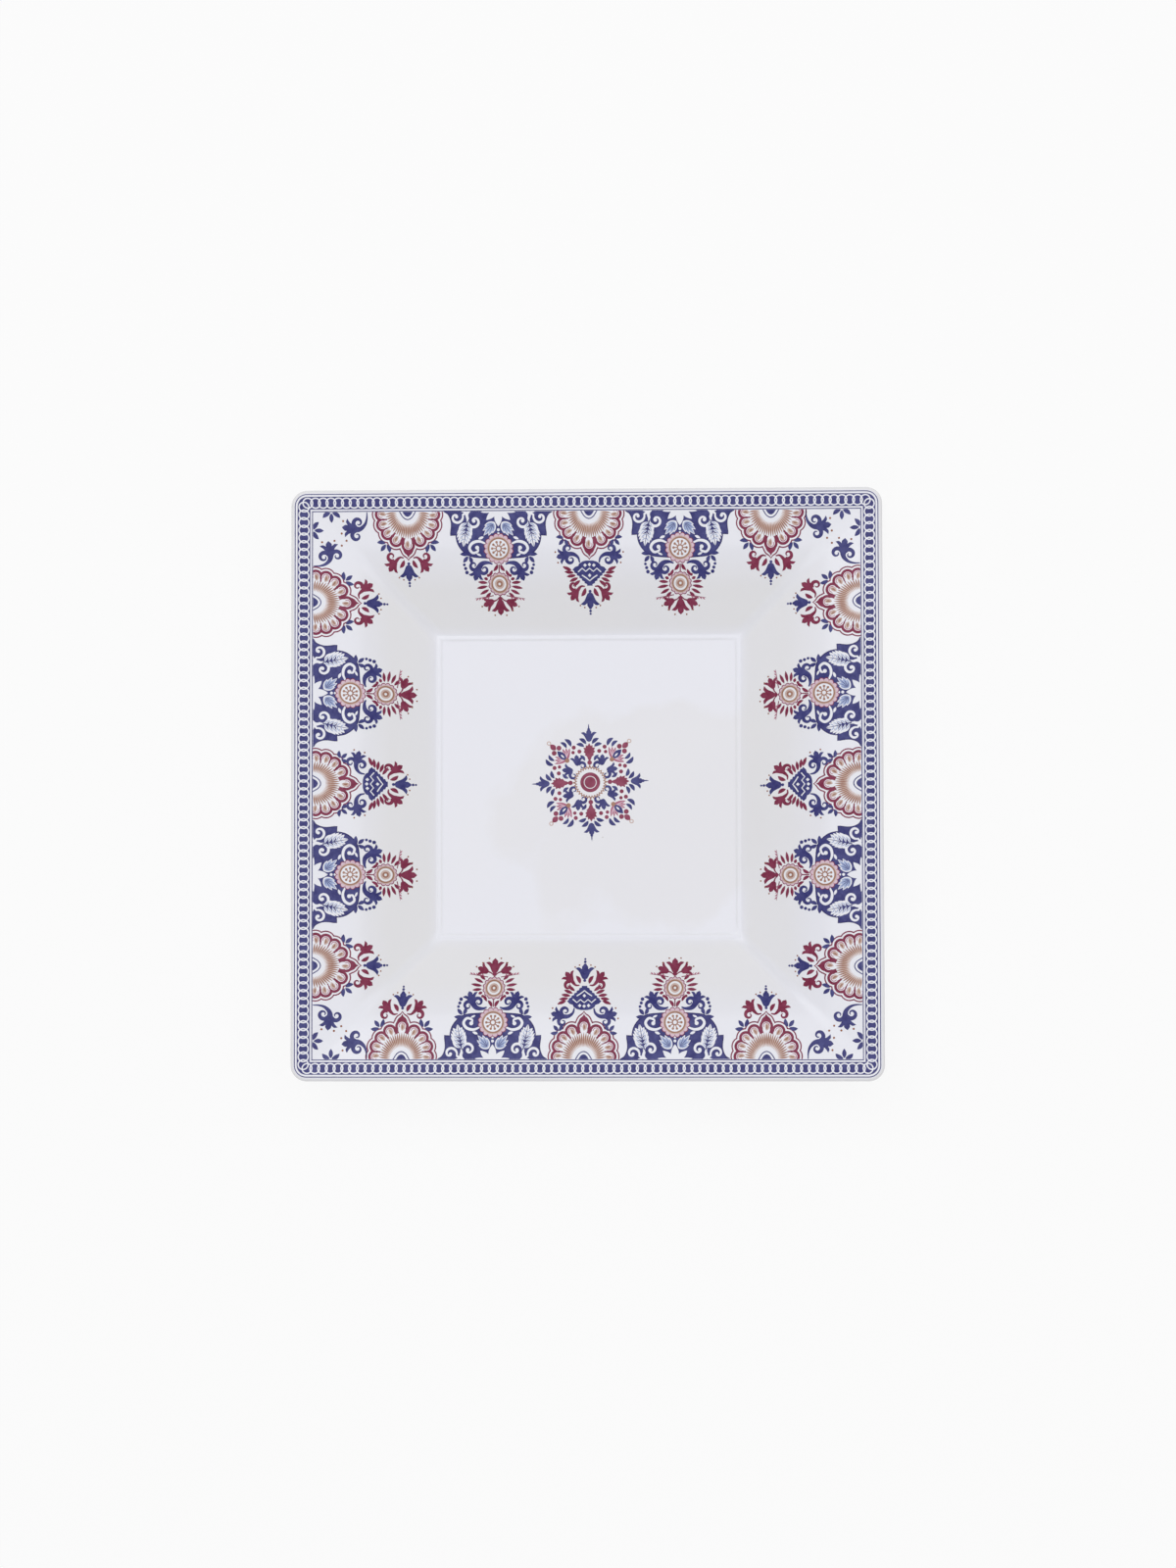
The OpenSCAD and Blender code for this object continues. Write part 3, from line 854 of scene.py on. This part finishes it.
print("a feather has", len(feather()), "shapes")


# %% Pale leaves, hem scrolls and the whole cloth
def pale_leaf():
    root = 1.2 + 3.6j
    edge, body, veins = [], [], []
    for lean, reach in ((18, 3.7), (34, 5.0), (49, 5.9), (64, 5.0), (78, 3.8)):
        edge.append(leaf(root, root + reach * turn(lean), 1.5))
        body.append(leaf(root + 0.5 * turn(49), root + (reach - 0.5) * turn(lean), 1.0))
        veins.append(leaf(root + 0.9 * turn(49), root + (reach - 1.5) * turn(lean), 0.2))
    return inked("bare", *edge) + inked("pale", *body) + inked("blue", *veins)


def hem_scroll():
    path = [4.2 + 10.8j, 6.6 + 9.9j, 8.9 + 10.5j, 9.9 + 12.2j, 8.8 + 13.7j, 7.1 + 13.2j, 7.0 + 12.1j]
    curl = ribbon(path, [0.5, 0.9, 1.0, 0.95, 0.85, 0.75, 0.5])
    wisps = [leaf(7.6 + 13.9j, 5.9 + 14.7j, 0.7), leaf(5.0 + 8.4j, 6.9 + 9.2j, 0.9)]
    return inked("bare", curl, disc(7.3 + 12.0j, 0.68), *wisps)


def cloth():
    beads = inked("bare", disc(6.1j, 0.5), disc(7.35j, 0.42))
    reserves = half_daisy() + beads + both(corner_scrolls() + feather() + pale_leaf() + hem_scroll())
    return inked("blue", [cloth_edge()]) + inked("dark", ribbon(cloth_edge(), [0.4, 0.4], 1)) + reserves


print("the cloth has", len(cloth()), "shapes")

# %% Rosettes below the hem
HEM_ROSETTE = 12.3j
LOW_ROSETTE = 23.8j


def hem_rosette():
    hub = rosette(5.2, 3.65, 16)
    for k in range(10):
        spoke = turn(36 * k)
        hub += inked("tan", ribbon([1.0 * spoke, 2.1 * spoke], [0.34, 0.3], 1), disc(2.2 * spoke, 0.42, 10))
    return hub + inked("tan", ring(0, 1.08, 0.42, 18))


def low_rosette():
    rays = []
    for lean, reach in ((-36, 5.2), (-20, 5.6), (-5, 7.4), (10, 8.0), (26, 7.6), (42, 6.8)):
        rays += both(inked("burgundy", leaf(4.1 * turn(lean), reach * turn(lean), 1.0)))
    eye = inked("sand", disc(0, 1.6, 20)) + inked("tan", disc(0, 1.05, 18)) + inked("bare", disc(0, 0.45, 12))
    return rays + rosette(3.9, 2.8, 14) + eye


print("the lower rosette has", len(low_rosette()), "shapes")


# %% Garland, buds and branches
def garland():
    fern = [2.2 + 27.5j, 5.0 + 28.0j, 8.6 + 28.5j]
    leaves = []
    for k in range(5):
        root = 3.6 + 0.95 * k + 1j * (27.7 + 0.15 * k)
        leaves.append(leaf(root, 4.3 + k + 1j * (28.7 + 0.1 * k), 0.42))
    return inked("burgundy", ribbon(fern, [0.3, 0.28, 0.1])) + inked("rose", *leaves)


def buds():
    three = moved(flower("burgundy"), 28.7j, 90, 4.4)
    stem = inked("burgundy", ribbon([0.3 + 28.0j, 1.2 + 28.9j, 2.5 + 29.4j], [0.3, 0.4, 0.6]))
    three += both(stem + moved(flower("burgundy"), 2.1 + 29.1j, 24, 3.5))
    dots = [disc(place, 0.28, 10) for place in (2.0 + 33.8j, 4.2 + 32.3j, 6.3 + 31.0j)]
    return three + inked("burgundy", leaf(27.6j, 30.2j, 1.3)) + both(inked("brown", *dots))


def blue_branch():
    stem = ribbon([2.2 + 17.4j, 3.7 + 16.9j, 5.8 + 17.3j, 7.4 + 19.4j], [0.4, 1.0, 1.6, 2.2])
    drops = ((11.8 + 17.6j, 0.48), (11.4 + 18.8j, 0.55), (11.0 + 20.1j, 0.62))
    beads = inked("blue", *[disc(place, radius, 12) for place, radius in drops])
    head = moved(curled_flower("blue"), 6.9 + 18.7j, 70, 3.7)
    return moved(sprig("blue", 3.0), 10.2 + 14.6j, -40) + beads + inked("blue", stem) + head


def lambrequin():
    stalk = inked("burgundy", ribbon([17.5j, 20.4j], [0.4, 0.35], 1))
    leaves = [leaf(0.5 + 17.4j, 2.0 + 19.7j, 1.1, 0.1), leaf(2.3 + 19.3j, 3.9 + 21.4j, 1.0, 0.1)]
    stalk += both(inked("burgundy", *leaves))
    below = both(blue_branch()) + stalk + moved(low_rosette(), LOW_ROSETTE) + both(garland()) + buds()
    return cloth() + moved(hem_rosette(), HEM_ROSETTE) + below


print("a lambrequin has", len(lambrequin()), "shapes")

# %% [markdown]
# ## Palmettes
# A palmette is a fan of round lobes with a gilt centre. It ends in a bell flower; the one in the middle of a
# side has a stepped bracket between its fan and its bell. The fan's double edge could be two strokes along an
# outline, but lobes that overlap have no simple outline. So the same lobes are laid three times, each time
# smaller: ink, bare, ink.

# %% Lobes and edges of the fan
FAN_TOP = 8.85 + 0.9j
FAN_BOW = 9.4 + 8.2j
FAN_TIP = 11.1j
HALF_LOBES = 4


def lobe_at(share):
    rest = 1 - share
    return rest * rest * FAN_TOP + 2 * rest * share * FAN_BOW + share * share * FAN_TIP


def fan_lobes():
    half = [lobe_at(k / HALF_LOBES) for k in range(HALF_LOBES + 1)]
    return half + reflected(half[:-1])


def arrow_tip(grow):
    """Pointed tip of the fan, like the top of an onion dome."""
    side = smooth([1.5 - 1.2j, 1.75 + 0.3j, 1.25 + 1.5j, 0.45 + 2.2j, 3.0j], 4)
    outline = [FAN_TIP + 1j + point + grow * point / abs(point) for point in side]
    return [outline + reflected(outline[:-1])]


def fan_edges(lobes):
    web = [[lobes[0].real - 0.5j, *lobes, lobes[-1].real - 0.5j]]
    edges = []
    for ink, grow in (("burgundy", 1.05), ("bare", 0.62), ("burgundy", 0.05)):
        rounds = [disc(lobe, 2.25 + grow, 24) for lobe in lobes]
        edges += inked(ink, *rounds, arrow_tip(grow), web)
    return edges


print("the fan has", len(fan_lobes()), "lobes")

# %% Inside of the fan
GILT_STROKES = 29


def fan_cells(lobes):
    cells = []
    for lobe in lobes:
        out = (lobe - 2.2j) / abs(lobe - 2.2j)
        cells += inked("bare", disc(lobe, 1.4, 20), leaf(lobe + 1.2 * out, lobe - 3.4 * out, 2.5))
        cells += inked("rose", ring(lobe + 0.1 * out, 1.1, 0.24, 18))
        cells += inked("bare", leaf(lobe + 0.8 * out, lobe - 3.6 * out, 2.1))
        cells += inked("sand", leaf(lobe + 0.95 * out, lobe - 1.6 * out, 1.5, 0.12))
        cells += inked("tan", leaf(lobe + 0.5 * out, lobe - 1.2 * out, 0.6, 0.12))
    return cells


def gilt_strokes():
    strokes = []
    for k in range(GILT_STROKES):
        way = turn(180 * (k + 0.5) / GILT_STROKES)
        foot = complex(4.4 * way.real, 4.8 * way.imag)
        head = complex(7.6 * way.real, 8.7 * way.imag + 0.3)
        strokes += inked("sand", leaf(0.84 * foot, head, 0.62)) + inked("tan", leaf(foot, head, 0.45))
    return strokes


def tongue():
    """Small arch on the hanging line, with a line round it."""
    arches = []
    for ink, half, height in (("blue", 2.9, 2.75), ("bare", 2.5, 2.4), ("blue", 1.75, 1.65)):
        right = [complex(0.55 * half, 0.72 * height), complex(half)]
        arch = smooth([*reflected(right), 1j * height, *right])
        arches += inked(ink, [[-half - 0.5j, *arch, half - 0.5j]])
    return arches


def fan():
    lobes = fan_lobes()
    inner = [0.8 * lobe + 0.1j for lobe in lobes]
    bare = inked("bare", [[inner[0].real - 0.5j, *smooth(inner, 3), inner[-1].real - 0.5j]])
    return fan_edges(lobes) + fan_cells(lobes) + bare + gilt_strokes() + tongue()


print("a fan has", len(fan()), "shapes")


# %% What hangs below the fan
def bell(size):
    """Blue flower on a bead, with beads beyond its tip, along +imag."""
    head = moved(flower("blue"), 0.5j, 90, size) + inked("blue", disc(0.2j, 0.5, 12))
    for place, radius in ((1.06, 0.56), (1.30, 0.46), (1.50, 0.36)):
        head += inked("blue", disc(0.5j + 1j * place * size, radius, 12))
    dots = [disc(place * size + 0.5j, 0.27, 10) for place in (0.42 + 1.06j, 0.74 + 0.92j)]
    return head + both(inked("brown", *dots))


def burgundy_branch(root, at, heading, size):
    bend = (root + at) / 2 + 0.5j * (root - at) / abs(root - at)
    stem = ribbon([root, bend, at + 0.3 * size * turn(heading)], [0.35, 0.7, 1.5])
    return inked("burgundy", stem) + moved(curled_flower("burgundy", [-1]), at, heading, size)


def corner_palmette():
    sides = moved(sprig("blue", 3.2), 7.4 + 10.5j, -38) + burgundy_branch(1.6 + 15.2j, 4.3 + 16.0j, 56, 3.8)
    sides += inked("burgundy", leaf(1.5 + 15.9j, 3.1 + 18.5j, 1.3, 0.1))
    return fan() + both(sides) + moved(bell(4.6), 16.9j)


def bracket():
    right = [1.2 + 16.9j, 2.4 + 17.2j, 3.6 + 18.0j, 3.8 + 18.6j, 5.0 + 19.0j, 5.8 + 19.9j]
    for k in range(6):
        step = complex(5.2 - 0.86 * k, 20.3 + 0.84 * k)
        right += [step, step + 0.5j]
    reserves = []
    for half in ([19.4j, 1.3 + 20.4j, 2.5 + 19.4j, 3.9 + 20.6j], [23.4j, 1.3 + 22.4j, 2.6 + 21.6j]):
        reserves.append(ribbon(reflected(half[1:]) + half, [0.42, 0.42], 1))
    for middle in (21.7j, 18.2j, 1.5 + 18.4j, -1.5 + 18.4j):
        reserves.append([[middle + way for way in (0.62, 0.62j, -0.62, -0.62j)]])
    return inked("blue", [right + reflected(right)]) + inked("bare", *reserves)


def middle_palmette():
    stem = ribbon([3.3 + 17.6j, 3.8 + 15.9j, 5.4 + 14.8j, 7.6 + 14.8j], [0.4, 0.8, 1.3, 1.7])
    sides = moved(sprig("blue", 2.9), 8.4 + 9.6j, -40) + inked("blue", stem)
    sides += moved(curled_flower("blue") + seeds(0.08), 7.0 + 14.8j, 14, 3.7)
    for k, lean in enumerate((-20, -6, 8, 22, 36)):
        foot = complex(6.1 - 0.72 * k, 20.0 + 0.82 * k)
        sides += inked("burgundy", leaf(foot, foot + 3.2 * turn(lean), 1.1))
    sides += burgundy_branch(1.7 + 25.2j, 4.1 + 26.3j, 54, 3.6)
    sides += inked("burgundy", leaf(1.5 + 25.7j, 3.0 + 28.4j, 1.3, 0.1))
    return fan() + moved(both(sides) + bracket() + moved(bell(4.6), 26.6j), -0.5j)


print("a middle palmette has", len(middle_palmette()), "shapes")

# %% [markdown]
# ## Corner tulips and the medallion
# A tulip springs from each corner palmette and leans towards the corner. The medallion has four arms and four
# diagonal flowers about a gilt ring. An Array modifier about an Empty could repeat finished meshes, but the
# drawing is still flat, so each is drawn once and its points are turned.

# %% Corner tulip
def corner_tulip():
    """Right-hand tulip. The origin is where its stem leaves the hanging line."""
    stem = ribbon([0.1j, 0.1 + 2.3j, 0.8 + 4.2j, 2.4 + 5.6j, 4.4 + 5.7j], [0.3, 0.6, 1.0, 1.5, 2.3])
    return inked("blue", stem) + moved(curled_flower("blue") + seeds(0.085), 3.6 + 5.7j, -8, 4.3)


print("a tulip has", len(corner_tulip()), "shapes")


# %% Medallion
def medallion_arm():
    jagged = [7.2j, 0.5 + 7.9j, 0.8 + 8.8j, 1.6 + 9.5j, 1.3 + 9.8j, 2.0 + 10.6j, 1.6 + 10.9j]
    jagged += [2.0 + 12.0j, 1.2 + 11.9j, 1.1 + 12.9j, 0.6 + 12.5j, 13.5j]
    arm = inked("red", disc(6.8j, 0.8), [jagged + reflected(jagged[1:-1])])
    arm += moved(flower("blue"), 13.9j, 90, 3.8)
    arm += inked("blue", disc(18.2j, 0.5, 12), leaf(17.4j, 20.2j, 0.42))
    leaves = [leaf(1.0 + 13.2j, 3.4 + 15.1j, 1.3, 0.12), leaf(1.7 + 12.3j, 4.4 + 13.2j, 1.25, 0.12)]
    leaves.append(leaf(1.6 + 7.4j, 3.2 + 9.4j, 1.05, 0.12))
    berries = [disc(3.4 + 10.7j, 0.7), disc(5.3 + 12.1j, 0.7), disc(5.6 + 10.4j, 0.6)]
    return arm + both(inked("blue", *leaves) + inked("red", *berries))


def medallion_flower():
    petals = []
    for side in (-1, 1):
        for lean in (26, 42, 58):
            petals += inked("rose", leaf(10.9j, 10.9j + 4.4 * turn(90 + side * lean), 1.05))
            petals += inked("pink", leaf(11.6j, 10.9j + 3.7 * turn(90 + side * lean), 0.36))
    heart = inked("blue", leaf(11.2j, 15.6j, 2.1)) + inked("bare", leaf(12.2j, 13.9j, 0.6))
    heart += inked("tan", disc(10.9j, 0.8))
    tip = inked("red", leaf(16.2j, 18.9j, 1.9)) + both(inked("red", disc(1.2 + 15.9j, 0.85)))
    tip += inked("sand", ring(19.5j, 0.75, 0.32, 16))
    leaves = [leaf(4.4 + 13.2j, 4.7 + 16.6j, 1.35, -0.16), leaf(3.0 + 14.0j, 2.9 + 16.9j, 1.15, -0.16)]
    tulips = moved(curled_flower("blue", [-1]), 1.1 + 7.0j, 50, 3.3)
    return petals + heart + tip + both(inked("blue", *leaves) + tulips)


def gilt_zigzag(teeth=32):
    outer, inner = [], []
    for k in range(2 * teeth):
        way = turn(180 * k / teeth)
        point = 6.25 if k % (teeth // 2) == 0 else 5.85
        outer.append(way * (5.0 if k % 2 else point))
        inner.append(way * (4.45 if k % 2 else 5.2))
    return inked("tan", [outer, inner[::-1]])


def medallion():
    quarters = []
    for k in range(4):
        quarters += moved(medallion_flower(), 0, 90 * k + 45) + moved(medallion_arm(), 0, 90 * k)
    middle = inked("red", disc(0, 3.4, 36)) + inked("bare", ring(0, 2.2, 0.26, 30))
    return quarters + gilt_zigzag() + middle


print("the medallion has", len(medallion()), "shapes")

# %% [markdown]
# ## From a drawing to a film
# Every outline of a motif cuts the plane, a Delaunay triangulation fills it, and each triangle takes the ink
# of the topmost shape round its middle. Where that is bare, the triangle goes, so the porcelain shows through
# a real gap. The triangles are then lifted onto the glaze and Solidify gives them the thickness of fired
# colour. Curve objects with fill would be quicker to draw, but they can't cut one shape out of another.

# %% Cut a drawing into inked triangles
def winding(points, loop):
    """How often a loop goes round each of the points."""
    a = np.array(loop)
    b = np.roll(a, -1)
    x, y = points.real[:, None], points.imag[:, None]
    rise = np.where(b.imag == a.imag, 1e-12, b.imag - a.imag)
    crossed = x < a.real + (y - a.imag) * (b.real - a.real) / rise
    up, down = (a.imag <= y) & (b.imag > y), (b.imag <= y) & (a.imag > y)
    return (crossed & up).sum(1) - (crossed & down).sum(1)


def cut_print(motif, lines=(), above=None):
    """Corners, triangles and inks of a drawing, cut along extra lines, and kept only above a height."""
    points, edges = [], []
    for loop in [loop for _, shape in motif for loop in shape]:
        first = len(points)
        points += loop
        edges += [(first + k, first + (k + 1) % len(loop)) for k in range(len(loop))]
    for line in lines:
        edges += [(len(points) + k, len(points) + k + 1) for k in range(len(line) - 1)]
        points += line
    flat = delaunay_2d_cdt([Vector((p.real, p.imag)) for p in points], edges, [], 0, 1e-4, False)
    places = np.array([complex(*p) for p in flat[0]])
    faces = np.array(flat[2])
    middles = places[faces].mean(1)
    inks = np.full(len(faces), "bare", dtype=object)
    free = np.ones(len(faces), dtype=bool) if above is None else middles.imag > above
    for ink, shape in reversed(motif):
        outline = np.array([point for loop in shape for point in loop])
        near = free & (middles.real > outline.real.min()) & (middles.real < outline.real.max())
        near &= (middles.imag > outline.imag.min()) & (middles.imag < outline.imag.max())
        near = np.flatnonzero(near)
        inside = near[sum(winding(middles[near], loop) for loop in shape) != 0]
        inks[inside] = ink
        free[inside] = False
    keep = inks != "bare"
    return places, faces[keep], inks[keep]


print("a disc is cut into", len(cut_print(inked("blue", disc(0, 1)))[1]), "triangles")

# %% Lay a film on the glaze
FILM_LIFT, FILM_T, FILM_MERGE = 0.03, 0.05, 0.001


def lay_film(node, prints):
    """Puts each (places, faces, inks, origin, heading) at its origin and turns it about the tray's middle."""
    corners, faces, inks = [], [], []
    for places, triangles, colours, origin, heading in prints:
        used, numbers = np.unique(triangles, return_inverse=True)
        spots = (origin + places[used]) * heading
        rows = numbers.reshape(-1, 3) + sum(len(c) for c in corners)
        heights = glaze_height(spots.real, spots.imag) + FILM_LIFT
        corners.append(np.column_stack([spots.real, spots.imag, heights]))
        faces.append(rows)
        inks += list(colours)
    mesh = bpy.data.meshes.new(node + "_print")
    mesh.from_pydata(np.vstack(corners) * MM, [], np.vstack(faces).tolist())
    palette = sorted(set(inks))
    for ink in palette:
        mesh.materials.append(ENAMELS[ink])
    mesh.polygons.foreach_set("material_index", [palette.index(ink) for ink in inks])
    film = bpy.data.objects.new(mesh.name, mesh)
    bpy.context.collection.objects.link(film)
    select_only(film)
    bpy.ops.object.mode_set(mode="EDIT")
    bpy.ops.mesh.select_all(action="SELECT")
    bpy.ops.mesh.remove_doubles(threshold=FILM_MERGE * MM)
    bpy.ops.object.mode_set(mode="OBJECT")
    body = film.modifiers.new("thickness", "SOLIDIFY")
    body.thickness, body.offset = FILM_T * MM, -1
    bpy.ops.object.modifier_apply(modifier=body.name)
    bpy.ops.object.shade_smooth_by_angle(angle=SMOOTH_ANGLE)
    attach(film, "root")
    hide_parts(node)
    return film


print("films are", FILM_T, "mm thick,", FILM_LIFT, "mm of it above the glaze")

# %% [markdown]
# ## Border
# Round the rim run a hairline, a band of interlaced rings and a second hairline. They follow the turned
# corner near the lip and are mitred further in. The rings are bare porcelain: each is drawn as a thin ring
# cut out of the band, so that blue lenses are left where two of them overlap. An array of ring meshes laid on
# a blue band would be thicker than print, so the band itself is cut. One side is drawn and turned four times.

# %% Stripes
CORNER_STEPS = 12
CORNER = complex(CORE, CORNER_R)
CORNER_WAYS = [turn(-90 + 90 * k / CORNER_STEPS) for k in range(CORNER_STEPS // 2 + 1)]


def edge_line(inset):
    """Line along one side at a distance from the outer edge, from mitre to mitre."""
    right = [complex(HALF - inset, inset)]
    if inset < CORNER_R:
        right = [CORNER + (CORNER_R - inset) * way for way in CORNER_WAYS]
    return reflected(right) + right


def stripe(near, far):
    return [edge_line(near) + edge_line(far)[::-1]]


def fold_lines(near, far):
    """Lines where the glaze changes its slope under a stripe."""
    insets = [HALF - x for x in GLAZE_X if near < HALF - x < far]
    lines = [edge_line(inset) for inset in insets]
    for way in CORNER_WAYS[:-1]:
        spoke = [CORNER + reach * way for reach in (0.01, CORNER_R - 0.5)]
        lines += [spoke, [-end.conjugate() for end in spoke]]
    return lines


def lay_border(name, motif, near, far):
    flat = cut_print(motif, fold_lines(near, far))
    film = lay_film(name, [(*flat, -1j * HALF, turn(90 * side)) for side in range(4)])
    print(name, "has", len(film.data.polygons), "faces")


HAIRLINE, OUTER_FAR, INNER_FAR = 0.3, 1.66, 7.36
for name, far in (("outer_line", OUTER_FAR), ("inner_line", INNER_FAR)):
    lay_border(name, inked("blue", stripe(far - HAIRLINE, far)), far - HAIRLINE, far)

# %% Interlaced rings
BAND_NEAR, BAND_FAR = 2.3, 6.5
RINGS, RING_R, RING_LINE = 73, 1.87, 0.46
ring_inset = (BAND_NEAR + BAND_FAR) / 2
ring_end = HALF - ring_inset
pitch = 2 * ring_end / RINGS
centres = [complex(-ring_end + (k + 0.5) * pitch, ring_inset) for k in range(RINGS)]
past_mitre = complex(ring_end, ring_inset + pitch / 2)
centres += [past_mitre, -past_mitre.conjugate()]
rings = [ring(centre, RING_R, RING_LINE) for centre in centres]
chain = inked("blue", stripe(BAND_NEAR, BAND_FAR)) + inked("bare", *rings)
lay_border("chain_band", chain, BAND_NEAR, BAND_FAR)

# %% [markdown]
# ## Pendants
# All pendants hang from the inner hairline. Their drawings are cut once, with extra cuts along the brow,
# where the glaze turns. Each is then laid four or eight times round the tray. Transfers are put on by hand,
# so each copy gets its own small lean. A Shrinkwrap modifier could bend an uncut drawing over the brow, but
# a triangle that spans a fold of the glaze would then cut through it.

# %% Places along a side
HANG, DEEPEST = 7.43, 46
PENDANT_U = 61.5
LEANS = (0.0, 0.2, -0.15, 0.15, 0.1, -0.2, 0.15, -0.1)
SLIDES = (-1.1, 0.1, -1.0, -0.5)


def brow_cuts(half_width):
    """Cuts along the hanging line and along each fold of the glaze below it."""
    insets = [HANG] + [HALF - x for x in GLAZE_X if HANG < HALF - x < DEEPEST]
    return [[complex(-half_width, inset - HANG), complex(half_width, inset - HANG)] for inset in insets]


def hang_pendants(name, motif, half_width, spots):
    """Lays one drawing at each (side, place along it, hand of the drawing)."""
    drawings = {1: cut_print(motif, brow_cuts(half_width), 0.0)}
    if any(hand < 0 for _, _, hand in spots):
        drawings[-1] = cut_print(mirrored(motif), brow_cuts(half_width), 0.0)
    for k, (side, u, hand) in enumerate(spots):
        places, faces, inks = drawings[hand]
        leaned = places * turn(LEANS[k % len(LEANS)])
        lay_film(f"{name}_{k + 1}", [(leaned, faces, inks, complex(u, HANG - HALF), turn(90 * side))])
    print(len(spots), name, "films with", len(drawings[1][1]), "triangles each")


def two_a_side(u, slides=(0, 0, 0, 0), hand_drawn=False):
    spots = []
    for side in range(4):
        for hand in (-1, 1):
            spots.append((side, hand * u + slides[side], hand if hand_drawn else 1))
    return spots


print("pendants are", PENDANT_U / 2, "mm apart")

# %% Hang them
BELL_REACH, FAN_REACH, SPRIG_REACH = 20, 14, 6
inner = two_a_side(PENDANT_U / 2, SLIDES)
middles = [(side, SLIDES[side], 1) for side in range(4)]
hang_pendants("lambrequin", lambrequin(), BELL_REACH, inner)
outer = two_a_side(PENDANT_U, SLIDES)
hang_pendants("corner_palmette", corner_palmette(), FAN_REACH, outer)
hang_pendants("middle_palmette", middle_palmette(), FAN_REACH, middles)

# %% Corner tulips and sprigs
TULIP_U, SPRIG_U = 74.3, 86.4
hang_pendants("tulip", corner_tulip(), FAN_REACH, two_a_side(TULIP_U, hand_drawn=True))
hang_pendants("sprig", sprig("blue", 3.5), SPRIG_REACH, two_a_side(SPRIG_U, hand_drawn=True))

# %% Medallion in the well
MEDALLION_AT, MEDALLION_TURN = 0.5 + 1.5j, 1.6
flat = cut_print(medallion())
film = lay_film("medallion", [(*flat, MEDALLION_AT, turn(MEDALLION_TURN))])
print("medallion has", len(film.data.polygons), "faces")
